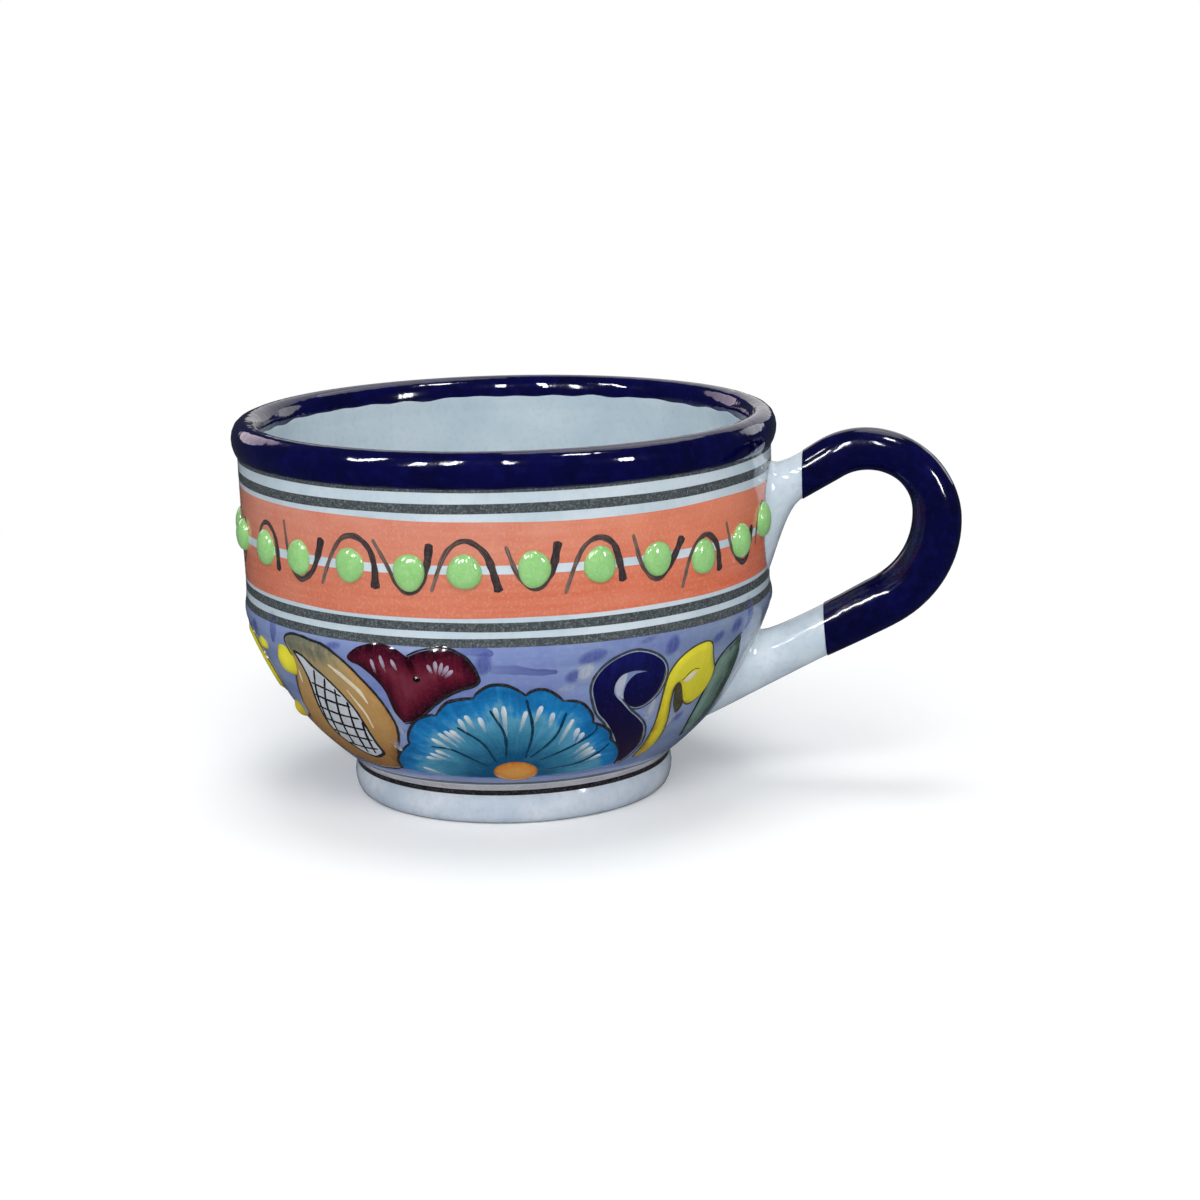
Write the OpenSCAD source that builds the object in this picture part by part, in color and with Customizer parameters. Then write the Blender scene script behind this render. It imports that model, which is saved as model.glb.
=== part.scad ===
// Hand-painted clay mug: thrown bowl, turned foot ring, rolled rim and looped coil handle
// Millimetres. The bowl turns about Z, the foot stands on Z = 0 and the handle points along +X

/* [Bowl] */
// Outer radius of the wall under the rim
wall_top_r = 54.9; // [50:0.1:62]
// Outer radius of the wall just above the shoulder
wall_low_r = 54.4; // [50:0.1:62]
// Outer radius of the shoulder, where wall and belly meet
shoulder_r = 54.7; // [51:0.1:62]
// Height of the wall from the shoulder to the rim
wall_h = 33.3; // [31:0.1:45]
// Height of the belly from the foot to the shoulder
belly_h = 33; // [31:0.1:40]
// Radius of the arc that draws the belly
belly_arc_r = 63.5; // [50:0.5:100]
// Radius of the bowl where it meets the foot
neck_r = 33.3; // [30:0.1:38]
// Thickness of the clay wall
wall_t = 5; // [3.5:0.1:6.5]
// Thickness of the floor, down to the top of the foot
floor_t = 6; // [4:0.1:9]

/* [Rim] */
// Height of the rim above the wall
rim_h = 5.9; // [5:0.1:8]
// Radius of the rolled lip's round section
rim_roll_r = 3.25; // [2.8:0.05:4.5]
// How far the lip stands out from the wall
rim_proud = 1.1; // [0.4:0.1:1.6]

/* [Foot] */
// Height of the foot ring
foot_h = 7; // [5:0.1:12]
// Width of the foot ring
foot_w = 7.3; // [5:0.1:10]
// Bevel round the bottom edges of the foot
foot_bevel = 1; // [0.4:0.1:2]
// Depth of the boss that centres the foot ring
boss_h = 2.5; // [1.5:0.1:4]
// Slip film between the boss and the foot ring
slip_film = 0.1; // [0.05:0.05:0.3]

/* [Handle] */
// Distance from the wall, at the upper arm, to the middle of the loop
loop_x = 19.7; // [16.2:0.1:25.2]
// Height of the middle of the loop above the shoulder
loop_up = 16.9; // [14:0.1:19]
// Radius of the loop above its middle, where it is tightest
loop_r = 14.1; // [12.5:0.1:16.5]
// Radius of the loop below its middle, where it opens out
lower_loop_r = 19.8; // [17:0.1:23]
// Thickness of the coil round the loop
coil_d = 9.6; // [8:0.1:11]
// Slope of the upper arm
upper_slope = 30; // [24:1:34]
// Slope of the lower arm
lower_slope = 27; // [23:1:31]
// Length of the upper arm that has blue glaze
upper_blue = 8; // [5:0.1:9.5]
// Length of the lower arm that has blue glaze
lower_blue = 14.8; // [10:0.1:18]
// Thickness of the lower arm where its blue glaze ends
lower_d = 10.9; // [9:0.1:12]
// Width of the upper slip joint at the wall
upper_pad_d = 13; // [11:0.1:14]
// Width of the lower slip joint at the wall
lower_pad_d = 13; // [11.5:0.1:15]
// Length of the slip smeared down the wall under the upper joint
smear_h = 19; // [12:0.5:22]
// Width of the smear at its lower end
smear_d = 4.9; // [3:0.1:6]

/* [Glaze bands] */
// Depth of a glaze coat
glaze_t = 0.5; // [0.3:0.05:0.8]
// Bare strip between the rim and the first stripe
rim_gap = 0.2; // [0.1:0.1:0.5]
// Width of the two upper dark stripes and the third
stripe_w = 1.45; // [0.8:0.05:1.8]
// Width of the lowest dark stripe
low_stripe_w = 1.1; // [0.6:0.05:1.5]
// White gap between the two upper stripes
upper_gap = 2.2; // [1.5:0.1:2.6]
// White gap above the orange
orange_gap = 2.1; // [1:0.1:2.5]
// White line between the two orange bands
white_line = 1.8; // [1:0.1:2.4]
// White gap under the orange
under_orange_gap = 1; // [0.5:0.1:1.4]
// White gap above the lowest stripe
low_gap = 1.9; // [1.2:0.1:2.2]
// Bare strip between the lowest stripe and the lavender ground
ground_gap = 0.1; // [0.05:0.05:0.3]
// How far the lavender ground climbs above the shoulder
ground_up = 2.1; // [1.9:0.1:2.6]
// Bare strip between the foot and the lavender ground
ground_foot_gap = 3.4; // [3:0.1:5]
// Height of the grey line above the foot
grey_line_up = 1.9; // [1.2:0.1:2]
// Width of the grey line
grey_line_w = 0.8; // [0.5:0.1:0.9]
// Width of the black line at the top of the foot
black_line_w = 1.1; // [0.6:0.1:1.6]

/* [Beads] */
// Number of green beads
bead_count = 27; // [20:1:28]
// Angle between the handle and the nearest bead
bead_start = 12; // [11.5:0.5:16]
// Width of a bead at the wall
bead_d = 6.6; // [4.5:0.1:7]
// Height of a bead
bead_h = 1.2; // [0.8:0.1:1.8]

/* [Brushed arcs] */
// Angle that a stroke reaches to each side of its bead
arc_half = 6; // [5.5:0.1:6.4]
// Least gap between a bead and its stroke
arc_clear = 0.05; // [0.05:0.05:0.3]
// Height of a stroke
arc_h = 10; // [9:0.1:10.5]
// Width of a stroke at its thin end
arc_thin = 0.6; // [0.4:0.1:0.9]
// Width of a stroke at its thick end
arc_thick = 1.4; // [1:0.1:1.6]
// Thickness of the paint in a stroke
arc_t = 0.3; // [0.2:0.05:0.5]

/* [Frieze] */
// Thickness of the enamel motifs
enamel_t = 0.4; // [0.3:0.05:0.8]
// Thickness of the white panels in the pods
panel_t = 0.3; // [0.2:0.05:0.6]
// Thickness of the lattice on the panels
lattice_t = 0.25; // [0.15:0.05:0.4]
// Angle of the middle of the front frieze
frieze_at = -81; // [-85:1:-78]
// Angle between friezes
frieze_step = 114; // [112:1:115]
// Reach of the petals from the middle of the flower
petal_reach = 21.4; // [17:0.1:21.8]
// Radius of a petal's round tip
petal_tip_r = 5.4; // [5:0.1:6.5]
// Gap between petals
petal_gap = 0.45; // [0.3:0.05:0.8]
// Gap between the flower and the motifs round it
motif_gap = 0.4; // [0.2:0.1:1]
// Width of a flower's eye
eye_w = 9; // [6:0.1:11]
// Height of a flower's eye
eye_h = 5.4; // [4:0.1:6]
// Width of the lattice bars
lattice_bar = 0.7; // [0.4:0.05:0.9]
// Spacing of the lattice bars
lattice_pitch = 3; // [2.4:0.1:4]

/* [Hidden] */
$fn = 96;

// Heights up the mug
shoulder_z = foot_h + belly_h;
seat_z = shoulder_z + wall_h;
mug_h = seat_z + rim_h;
floor_z = foot_h + floor_t;
// The wall starts this far above the shoulder, and higher by what the shoulder stands out or in
wall_low_up = 2.7;
wall_low_z = shoulder_z + wall_low_up + abs(shoulder_r - wall_low_r);

// Centre of the belly's arc, found from the neck and the shoulder
neck = [neck_r, foot_h];
shoulder = [shoulder_r, shoulder_z];
chord = shoulder - neck;
chord_mid = (shoulder + neck) / 2;
chord_side = [-chord.y, chord.x] / norm(chord);
arc_mid = chord_mid + chord_side * sqrt(pow(belly_arc_r, 2) - pow(norm(chord) / 2, 2));
belly_steps = 12;

// Edges of the glaze bands, from the rim down
stripe1_top = seat_z - rim_gap;
stripe1_low = stripe1_top - stripe_w;
stripe2_top = stripe1_low - upper_gap;
stripe2_low = stripe2_top - stripe_w;
orange_top = stripe2_low - orange_gap;
ground_top = shoulder_z + ground_up;
stripe4_low = ground_top + ground_gap;
stripe4_top = stripe4_low + low_stripe_w;
stripe3_low = stripe4_top + low_gap;
stripe3_top = stripe3_low + stripe_w;
orange_low = stripe3_top + under_orange_gap;
line_mid = (orange_top + orange_low) / 2;
line_top = line_mid + white_line / 2;
line_low = line_mid - white_line / 2;
ground_low = foot_h + ground_foot_gap;
grey_low = foot_h + grey_line_up;
grey_top = grey_low + grey_line_w;

// Slack that carries a cutting solid past the face it cuts
past = 1;
// Radius that every pressed outline starts from, inside the wall, and how far it runs outwards
press_from = neck_r - wall_t;
press_past = 8;
press_len = max(shoulder_r, wall_low_r, wall_top_r) + press_past - press_from;

// Angles of the friezes round the bowl, the last of which leaves its pod out for the handle
frieze_angles = [for (i = [0:2]) frieze_at - i * frieze_step];
pod_angles = [frieze_angles[0], frieze_angles[1]];

// The outlines below are [degrees from the middle of the frieze, height on the bowl]
// They are drawn for a foot, a belly and a shoulder of these sizes, and stretch with the real ones
drawn_foot_h = 7;
drawn_belly_h = 33;
drawn_shoulder_r = 54.7;
girth_k = shoulder_r / drawn_shoulder_r;
rise_k = belly_h / drawn_belly_h;

// Each outline is pressed along the direction of its own middle
heart_mid = -21;
heart_left = [[-26.5, 25], [-27.2, 30], [-29, 34.5], [-35, 38.3], [-28.5, 41.6], [-21.5, 39.4]];
heart_right = [[-21.5, 39.4], [-12.5, 41.2], [-7.6, 37], [-8.6, 34.4], [-17, 31], [-26.5, 25]];

scroll_mid = 27;
scroll_back = [[33.4, 12.6], [29, 16.8], [22.3, 24], [17.8, 31], [20.3, 36.8], [27, 38.6], [33.3, 35.8],
               [34.4, 30], [31, 26.8], [26.6, 28], [25.9, 32.5], [29.6, 34.1]];
scroll_front = [[29.6, 34.1], [24.4, 34.4], [22.4, 31], [26.3, 26.6], [32.6, 22], [36, 16], [33.4, 12.6]];

curl_mid = 44;
curl_outline = [[37.6, 13.6], [37.9, 20], [36.7, 30], [38.3, 35.6], [44.5, 37.6], [49, 34.2], [51.8, 28.5],
                [48.5, 24.2], [43.6, 26], [41.2, 30.2], [39.4, 29], [41.2, 22], [41.8, 15.2]];

leaf_mid = 58;
leaf_left = [[55.5, 16.2], [52.9, 22], [53, 31], [58.5, 36.6]];
leaf_right = [[58.5, 36.6], [63, 31], [62, 22], [55.5, 16.2]];

pod_outline = [[-52.3, 39.4], [-45, 40.8], [-36, 35.5], [-30.4, 26], [-32, 18], [-38, 12.4], [-54, 12.3],
               [-63.5, 20], [-60, 28], [-53.4, 33]];

panel_right = [[-50, 36.4], [-44, 34], [-38, 25.5], [-37.4, 17]];
panel_left = [[-37.4, 17], [-45, 16], [-52, 21], [-50.6, 30], [-50, 36.4]];
panel_mid = [-44, 26];

// Middle of the yellow drop beside a pod, and its half width and half height
drop_mid = [-57.2, 35];
drop_half = [2.9, 3];

// Middle of the flower's fan and of its eye
fan_mid = [-1.8, 13];
eye_mid = [0.5, 13.5];
// Directions from the middle of the fan that part the petals
petal_edges = [1, 17, 38, 61, 84, 108, 135, 160, 179];
// Middles of the petals' round tips lie this far from the middle of the fan
tip_at = petal_reach - petal_tip_r;

// Leans of the two sets of lattice bars, and how many bars a set has to each side of its middle
bar_leans = [69, -8];
bar_count = 5;

// Height of an outline's point on this bowl
function on_bowl(z) = foot_h + (z - drawn_foot_h) * rise_k;

// Radius of the bowl at a height
function bowl_r(z) =
    z < shoulder_z
    ? arc_mid.x + sqrt(pow(belly_arc_r, 2) - pow(z - arc_mid.y, 2))
    : wall_low_r + (wall_top_r - wall_low_r) * (z - wall_low_z) / (seat_z - wall_low_z);

// Angle of a point on the belly's arc, or on one beside it, at a height
function arc_angle(z, r) = asin((z - arc_mid.y) / r);

// Points of an arc beside the belly's, from a height up to the shoulder
function belly_points(from_z, out) =
    let (r = belly_arc_r + out,
         a0 = arc_angle(from_z, r),
         a1 = arc_angle(shoulder_z, belly_arc_r))
    [for (i = [0:belly_steps]) let (a = a0 + (a1 - a0) * i / belly_steps) arc_mid + r * [cos(a), sin(a)]];

// Outside of the bowl from the foot to the rim, moved outwards
function bowl_side(out, from_z = foot_h) =
    concat(belly_points(from_z, out), [[wall_low_r + out, wall_low_z], [wall_top_r + out, seat_z]]);

function reversed(list) = [for (i = [len(list) - 1:-1:0]) list[i]];

// Smooth curve through points, without its last one
function between(p0, p1, p2, p3, t) =
    (2 * p1 + (p2 - p0) * t + (2 * p0 - 5 * p1 + 4 * p2 - p3) * t * t
     + (3 * p1 - p0 - 3 * p2 + p3) * t * t * t) / 2;
curve_steps = 4;
function open_curve(p) =
    let (last = len(p) - 1)
    [for (i = [0:last - 1], k = [0:curve_steps - 1])
        between(p[max(i - 1, 0)], p[i], p[i + 1], p[min(i + 2, last)], k / curve_steps)];
function closed_curve(p) =
    let (n = len(p))
    [for (i = [0:n - 1], k = [0:curve_steps - 1])
        between(p[(i + n - 1) % n], p[i], p[(i + 1) % n], p[(i + 2) % n], k / curve_steps)];

// A frieze outline as seen square on from the direction of its middle
function seen(outline, mid) =
    [for (p = outline) let (z = on_bowl(p.y)) [bowl_r(z) * sin(p.x - mid), z]];

// Oval of the frieze round a place, seen square on
function oval(place, half) =
    [for (a = [0:15:345]) place + [half.x * girth_k * cos(a), half.y * rise_k * sin(a)]];

// Section between two surfaces beside the outside of the bowl
module skin_section(low, high) {
    polygon(concat(bowl_side(high), reversed(bowl_side(low))));
}

module skin(low, high) {
    rotate_extrude() skin_section(low, high);
}

// Solid of revolution between the wall's outside and a surface beside it
module wall_skin(high) {
    rotate_extrude()
        polygon([[wall_low_r, wall_low_z], [wall_low_r + high, wall_low_z], [wall_top_r + high, seat_z],
                 [wall_top_r, seat_z]]);
}

module wall_body() {
    translate([0, 0, wall_low_z])
        cylinder(r1 = wall_low_r, r2 = wall_top_r, h = seat_z - wall_low_z, $fn = 360);
}

// Section of a glaze coat between two heights, flush with the outside of the bowl
module coat_section(from_z, to_z) {
    intersection() {
        skin_section(-glaze_t, 0);
        translate([0, from_z]) square([shoulder_r * 2, to_z - from_z]);
    }
}

module orange_sections() {
    coat_section(line_top, orange_top);
    coat_section(orange_low, line_low);
}

module stripe_sections() {
    coat_section(stripe1_low, stripe1_top);
    coat_section(stripe2_low, stripe2_top);
    coat_section(stripe3_low, stripe3_top);
    coat_section(stripe4_low, stripe4_top);
}

module ground_section() {
    coat_section(ground_low, ground_top);
}

module grey_line_section() {
    coat_section(grey_low, grey_top);
}

module black_line_section() {
    translate([neck_r - glaze_t, foot_h - black_line_w]) square([glaze_t, black_line_w]);
}

// Flat outline pressed outwards through the wall at an angle round the bowl
module pressed(angle) {
    rotate([0, 0, angle])
        translate([press_from, 0, 0])
            rotate([90, 0, 90])
                linear_extrude(height = press_len) children();
}

// Copies of a flat outline as enamel on the bowl, at the same place in several friezes
module enamel(angles, mid, low = 0, high = enamel_t) {
    intersection() {
        union() {
            for (angle = angles) pressed(angle + mid) children();
        }
        skin(low, high);
    }
}

module bowl_body() {
    rotate_extrude()
        polygon(concat([[0, -past]], bowl_side(0, -past), [[0, seat_z]]));
}

module bowl() {
    inside = concat(belly_points(floor_z, -wall_t),
                    [[wall_low_r - wall_t, wall_low_z], [wall_top_r - wall_t, seat_z]]);
    boss_r = neck_r - foot_w - slip_film;
    color("whitesmoke")
        rotate_extrude()
            difference() {
                polygon(concat([[0, foot_h - boss_h], [boss_r, foot_h - boss_h], [boss_r, foot_h]],
                               bowl_side(0), reversed(inside), [[0, floor_z]]));
                orange_sections();
                stripe_sections();
                ground_section();
                grey_line_section();
            }
}

module foot_ring() {
    color("aliceblue")
        rotate_extrude()
            difference() {
                polygon([[neck_r - foot_w + foot_bevel, 0], [neck_r - foot_bevel, 0], [neck_r, foot_bevel * 2],
                         [neck_r, foot_h], [neck_r - foot_w, foot_h], [neck_r - foot_w, foot_bevel]]);
                black_line_section();
            }
}

module rim_roll() {
    roll_mid = [wall_top_r + rim_proud - rim_roll_r, mug_h - rim_roll_r];
    color("midnightblue")
        rotate_extrude()
            intersection() {
                union() {
                    translate(roll_mid) circle(r = rim_roll_r);
                    translate([wall_top_r - wall_t, seat_z]) square([wall_t, roll_mid.y - seat_z]);
                }
                translate([0, seat_z]) square([shoulder_r * 2, rim_h + past]);
            }
}

// The loop lies in the plane of X and Z, drawn by two arcs that meet on its outer side at the height of its
// middle, and its arms leave it along its tangents
upper_turn = 90 + upper_slope;
lower_turn = lower_slope - 90;
loop_z = shoulder_z + loop_up;
loop_mid = [bowl_r(loop_z + loop_r * sin(upper_turn)) + loop_x, loop_z];
lower_loop_mid = loop_mid + [loop_r - lower_loop_r, 0];
upper_end = loop_mid + loop_r * [cos(upper_turn), sin(upper_turn)];
lower_end = lower_loop_mid + lower_loop_r * [cos(lower_turn), sin(lower_turn)];
// Arms run on this far, into the wall, before the bowl is cut from them
arm_run = neck_r;
// The arms reach this far back over the ends of the loop, and are this much thicker there, as is the collar
// that joins the loop's two arcs
arm_lap = 0.5;
arm_swell = 0.1;

// Round arm from a point of the loop's plane, towards the bowl and down at a slope
module arm(from, slope, start, length, d1, d2) {
    translate([from.x, 0, from.y])
        rotate([0, -90 - slope, 0])
            translate([0, 0, start]) cylinder(d1 = d1, d2 = d2, h = length);
}

// Coil bent round a middle in the loop's plane, from one turn to another
module loop_arc(middle, radius, from_turn, to_turn) {
    translate([middle.x, 0, middle.y])
        rotate([90, 0, 0])
            rotate([0, 0, from_turn])
                rotate_extrude(angle = to_turn - from_turn, start = 0)
                    translate([radius, 0]) circle(d = coil_d);
}

module handle() {
    color("navy") {
        loop_arc(loop_mid, loop_r, 0, upper_turn);
        loop_arc(lower_loop_mid, lower_loop_r, lower_turn, 0);
        translate([loop_mid.x + loop_r, 0, loop_mid.y - arm_lap])
            cylinder(d = coil_d + arm_swell, h = arm_lap * 2);
        arm(upper_end, upper_slope, -arm_lap, upper_blue + arm_lap, coil_d + arm_swell, coil_d + arm_swell);
        arm(lower_end, lower_slope, -arm_lap, lower_blue + arm_lap, coil_d + arm_swell, lower_d);
    }
}

// Heights at which the arms reach the radius of the wall and of the shoulder
upper_join_z = upper_end.y - (upper_end.x - wall_low_r) * tan(upper_slope);
lower_join_z = lower_end.y - (lower_end.x - shoulder_r) * tan(lower_slope);
// Distance along an arm, past its blue glaze, at which it reaches the bowl
upper_pad_len = (upper_end.x - wall_low_r) / cos(upper_slope) - upper_blue;
lower_pad_len = (lower_end.x - bowl_r(lower_join_z)) / cos(lower_slope) - lower_blue;

module upper_joint_body() {
    widen = (upper_pad_d - coil_d) / upper_pad_len;
    arm(upper_end, upper_slope, upper_blue, arm_run / 2, coil_d, coil_d + widen * arm_run / 2);
    translate([wall_low_r - smear_d / 2, 0, upper_join_z - smear_h])
        cylinder(d1 = smear_d, d2 = upper_pad_d, h = smear_h);
}

module upper_slip_joint() {
    color("ghostwhite")
        difference() {
            upper_joint_body();
            bowl_body();
        }
}

module lower_joint_body() {
    widen = (lower_pad_d - lower_d) / lower_pad_len;
    arm(lower_end, lower_slope, lower_blue, arm_run, lower_d, lower_d + widen * arm_run);
}

module lower_slip_joint() {
    color("ghostwhite")
        difference() {
            lower_joint_body();
            bowl_body();
        }
}

module orange_bands() {
    color("coral") rotate_extrude() orange_sections();
}

module dark_stripes() {
    color("dimgray") rotate_extrude() stripe_sections();
}

module lavender_ground() {
    color("lightsteelblue") rotate_extrude() ground_section();
}

module foot_lines() {
    color("darkslategray")
        rotate_extrude() {
            grey_line_section();
            black_line_section();
        }
}

// Angles of the beads, from one side of the handle round to the other
bead_step = (360 - 2 * bead_start) / (bead_count - 1);
bead_angles = [for (i = [0:bead_count - 1]) -bead_start - i * bead_step];
bead_ring_r = bowl_r(line_mid);
wall_slant = atan((wall_top_r - wall_low_r) / (seat_z - wall_low_z));

// A bead's place on the wall, with X square to the wall
module at_bead(angle) {
    rotate([0, 0, angle])
        translate([bead_ring_r, 0, line_mid])
            rotate([0, wall_slant, 0]) children();
}

module green_beads() {
    ball_r = (pow(bead_d / 2, 2) + pow(bead_h, 2)) / (2 * bead_h);
    color("yellowgreen")
        for (angle = bead_angles)
            difference() {
                at_bead(angle) translate([bead_h - ball_r, 0, 0]) sphere(r = ball_r);
                wall_body();
            }
}

// One stroke as a curve that widens along its way, over its bead or under it
// It runs from -1 to 1, its crest stands half its height from the line, and its bend squares the arch a little
arc_steps = 12;
arc_bend = 2.2;
hair = 0.01;
function stroke_point(t, side) = [bead_ring_r * sin(arc_half * t),
                                  line_mid + side * arc_h * (1 / 2 - pow(abs(t), arc_bend))];
function stroke_edge(side, way) =
    [for (i = [0:arc_steps])
        let (t = 2 * i / arc_steps - 1,
             run = stroke_point(t + hair, side) - stroke_point(t - hair, side),
             half = (arc_thin + (arc_thick - arc_thin) * i / arc_steps) / 2)
        stroke_point(t, side) + way * half * [-run.y, run.x] / norm(run)];

module brushed_arcs() {
    color("saddlebrown")
        difference() {
            intersection() {
                union() {
                    for (i = [0:bead_count - 1]) {
                        side = i % 2 == 0 ? 1 : -1;
                        pressed(bead_angles[i])
                            polygon(concat(stroke_edge(side, 1), reversed(stroke_edge(side, -1))));
                    }
                }
                wall_skin(arc_t);
            }
            for (angle = bead_angles)
                at_bead(angle)
                    rotate([0, 90, 0]) cylinder(d = bead_d + 2 * arc_clear, h = bead_d, center = true);
            upper_joint_body();
        }
}

// A point of the fan, seen square on
function fan_point(reach, angle) =
    [reach * cos(angle) * girth_k, on_bowl(fan_mid.y) + reach * sin(angle) * rise_k];

// How far a petal's round tip reaches in a direction beside the petal's middle
function tip_reach(beside) =
    tip_at * cos(beside) + sqrt(pow(petal_tip_r, 2) - pow(tip_at * sin(beside), 2));

// One petal of the fan: a wedge with a round tip
tip_steps = 8;
function petal(from, to) =
    let (mid = (from + to) / 2,
         half = (to - from) / 2,
         edge = half - asin(petal_gap / 2 / petal_reach))
    concat([fan_point(petal_gap / 2 / sin(half), mid)],
           [for (i = [0:tip_steps]) let (a = edge * (2 * i / tip_steps - 1)) fan_point(tip_reach(a), mid + a)]);

module eye_outline(grow) {
    place = [bowl_r(on_bowl(eye_mid.y)) * sin(eye_mid.x - fan_mid.x), on_bowl(eye_mid.y)];
    polygon(oval(place, [eye_w / 2 + grow, eye_h / 2 + grow]));
}

// Room that the motifs round a flower leave for it
module flower_room() {
    for (angle = frieze_angles)
        pressed(angle + fan_mid.x)
            polygon([for (a = [0:15:345]) fan_point(petal_reach + motif_gap, a)]);
}

module flower_petals() {
    color("deepskyblue")
        enamel(frieze_angles, fan_mid.x)
            difference() {
                for (i = [0:len(petal_edges) - 2]) polygon(petal(petal_edges[i], petal_edges[i + 1]));
                eye_outline(petal_gap);
            }
}

module flower_eyes() {
    color("orange")
        enamel(frieze_angles, fan_mid.x) eye_outline(0);
}

module hearts() {
    color("maroon")
        difference() {
            enamel(frieze_angles, heart_mid)
                polygon(seen(concat(open_curve(heart_left), open_curve(heart_right)), heart_mid));
            flower_room();
        }
}

module blue_scrolls() {
    color("darkblue")
        difference() {
            enamel(frieze_angles, scroll_mid)
                polygon(seen(concat(open_curve(scroll_back), open_curve(scroll_front)), scroll_mid));
            flower_room();
        }
}

module yellow_curls() {
    color("gold") {
        enamel(frieze_angles, curl_mid) polygon(seen(closed_curve(curl_outline), curl_mid));
        enamel(pod_angles, drop_mid.x)
            polygon(oval([0, on_bowl(drop_mid.y)], drop_half));
    }
}

module green_leaves() {
    color("darkseagreen")
        enamel([frieze_angles[0]], leaf_mid)
            polygon(seen(concat(open_curve(leaf_left), open_curve(leaf_right)), leaf_mid));
}

module panel_outline() {
    polygon(seen(concat(open_curve(panel_right), open_curve(panel_left)), panel_mid.x));
}

module pod_husks() {
    color("peru")
        difference() {
            enamel(pod_angles, panel_mid.x)
                difference() {
                    polygon(seen(closed_curve(pod_outline), panel_mid.x));
                    panel_outline();
                }
            flower_room();
        }
}

module pod_panels() {
    color("white")
        enamel(pod_angles, panel_mid.x, 0, panel_t) panel_outline();
}

module pod_lattices() {
    bar_len = belly_h * 2;
    color("black")
        enamel(pod_angles, panel_mid.x, panel_t, panel_t + lattice_t)
            intersection() {
                panel_outline();
                translate([0, on_bowl(panel_mid.y)])
                    union() {
                        for (lean = bar_leans, i = [-bar_count:bar_count])
                            rotate([0, 0, lean])
                                translate([0, i * lattice_pitch]) square([bar_len, lattice_bar], center = true);
                    }
            }
}

bowl();
foot_ring();
rim_roll();
handle();
upper_slip_joint();
lower_slip_joint();
orange_bands();
dark_stripes();
lavender_ground();
foot_lines();
green_beads();
brushed_arcs();
flower_petals();
flower_eyes();
hearts();
blue_scrolls();
yellow_curls();
green_leaves();
pod_husks();
pod_panels();
pod_lattices();
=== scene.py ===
# Hand-painted clay mug with a looped handle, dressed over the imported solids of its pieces
# The bowl turns about Z, the foot stands on Z = 0, the handle points along +X and the front is -Y
import math
import random

import bmesh
import bpy
import numpy as np
from mathutils import Matrix, Vector, geometry


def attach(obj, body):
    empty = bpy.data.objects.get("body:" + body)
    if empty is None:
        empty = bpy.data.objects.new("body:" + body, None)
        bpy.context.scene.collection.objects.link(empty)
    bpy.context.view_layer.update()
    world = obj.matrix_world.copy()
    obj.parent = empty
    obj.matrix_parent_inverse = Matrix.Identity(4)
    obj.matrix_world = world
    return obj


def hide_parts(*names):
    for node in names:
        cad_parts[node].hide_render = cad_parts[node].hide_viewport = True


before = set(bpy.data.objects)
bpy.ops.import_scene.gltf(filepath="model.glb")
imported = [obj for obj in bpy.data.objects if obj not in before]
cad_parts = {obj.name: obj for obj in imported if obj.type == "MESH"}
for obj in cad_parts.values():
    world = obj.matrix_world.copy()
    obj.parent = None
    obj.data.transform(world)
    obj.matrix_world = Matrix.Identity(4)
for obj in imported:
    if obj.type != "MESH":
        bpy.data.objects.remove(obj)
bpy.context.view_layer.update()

# Bowl
# The thrown wall and floor of the mug, red clay under an opaque white tin glaze. It is turned as one piece
# on the wheel, with a boss under the floor. The other clay pieces are luted to it and the paint lies on it.
MM = 0.001
WHEEL_STEPS = 192
CLAY_WALL = 5.0
# Height and radius of the outside, from the neck over the belly and the shoulder to the rim's seat
SIDE = [(7.0, 32.75), (8.5, 34.0), (10.5, 36.3), (13, 39), (16, 41.9), (20, 45.1), (25, 48.2), (30, 50.8),
        (34, 52.6), (37, 53.8), (39.5, 54.65), (41, 54.75), (42.5, 54.5), (44.5, 54.4), (52, 54.5),
        (60, 54.65), (73.3, 54.95)]
FLOOR = [(30.6, 14.1), (27.5, 13.3), (23, 13), (0, 13)]
BOSS = [(0, 4.5), (25.3, 4.5), (25.75, 4.65), (25.9, 5.1), (25.9, 7)]
# Heights of the neck and of the rim's seat
NECK, SEAT = SIDE[0][0], SIDE[-1][0]
# How far down the outside is followed at the wall's thickness, and the heights inside between which that is kept
FOLLOWED_TO = 13.5
INSIDE_LOW, INSIDE_HIGH = 14.6, 72.6
# Where the white laps up inside the rim
LAP_TOP = 75.0
LAP = [(50.3, SEAT), (50.1, LAP_TOP), (49.66, LAP_TOP), (49.69, 73.8)]
GLAZE_IOR = 1.52
RELIEF_DEPTH = 0.6 * MM

side_z, side_r = np.array(SIDE).T
side_slope = np.gradient(side_r, side_z)
fine_z = np.linspace(side_z[0], side_z[-1], 1500)
stretch = np.clip(np.searchsorted(side_z, fine_z, side="right") - 1, 0, len(SIDE) - 2)
rise = side_z[stretch + 1] - side_z[stretch]
along = (fine_z - side_z[stretch]) / rise
fine_r = ((1 + 2 * along) * (1 - along) ** 2 * side_r[stretch]
          + along * (1 - along) ** 2 * rise * side_slope[stretch]
          + along ** 2 * (3 - 2 * along) * side_r[stretch + 1]
          + along ** 2 * (along - 1) * rise * side_slope[stretch + 1])
fine_tilt = np.gradient(fine_r, fine_z)
fine_run = np.concatenate([[0], np.cumsum(np.hypot(np.diff(fine_r), np.diff(fine_z)))])


def side_radius(height):
    """Radius of the bowl's outside at a height, in millimetres."""
    return np.interp(height, fine_z, fine_r)


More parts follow.
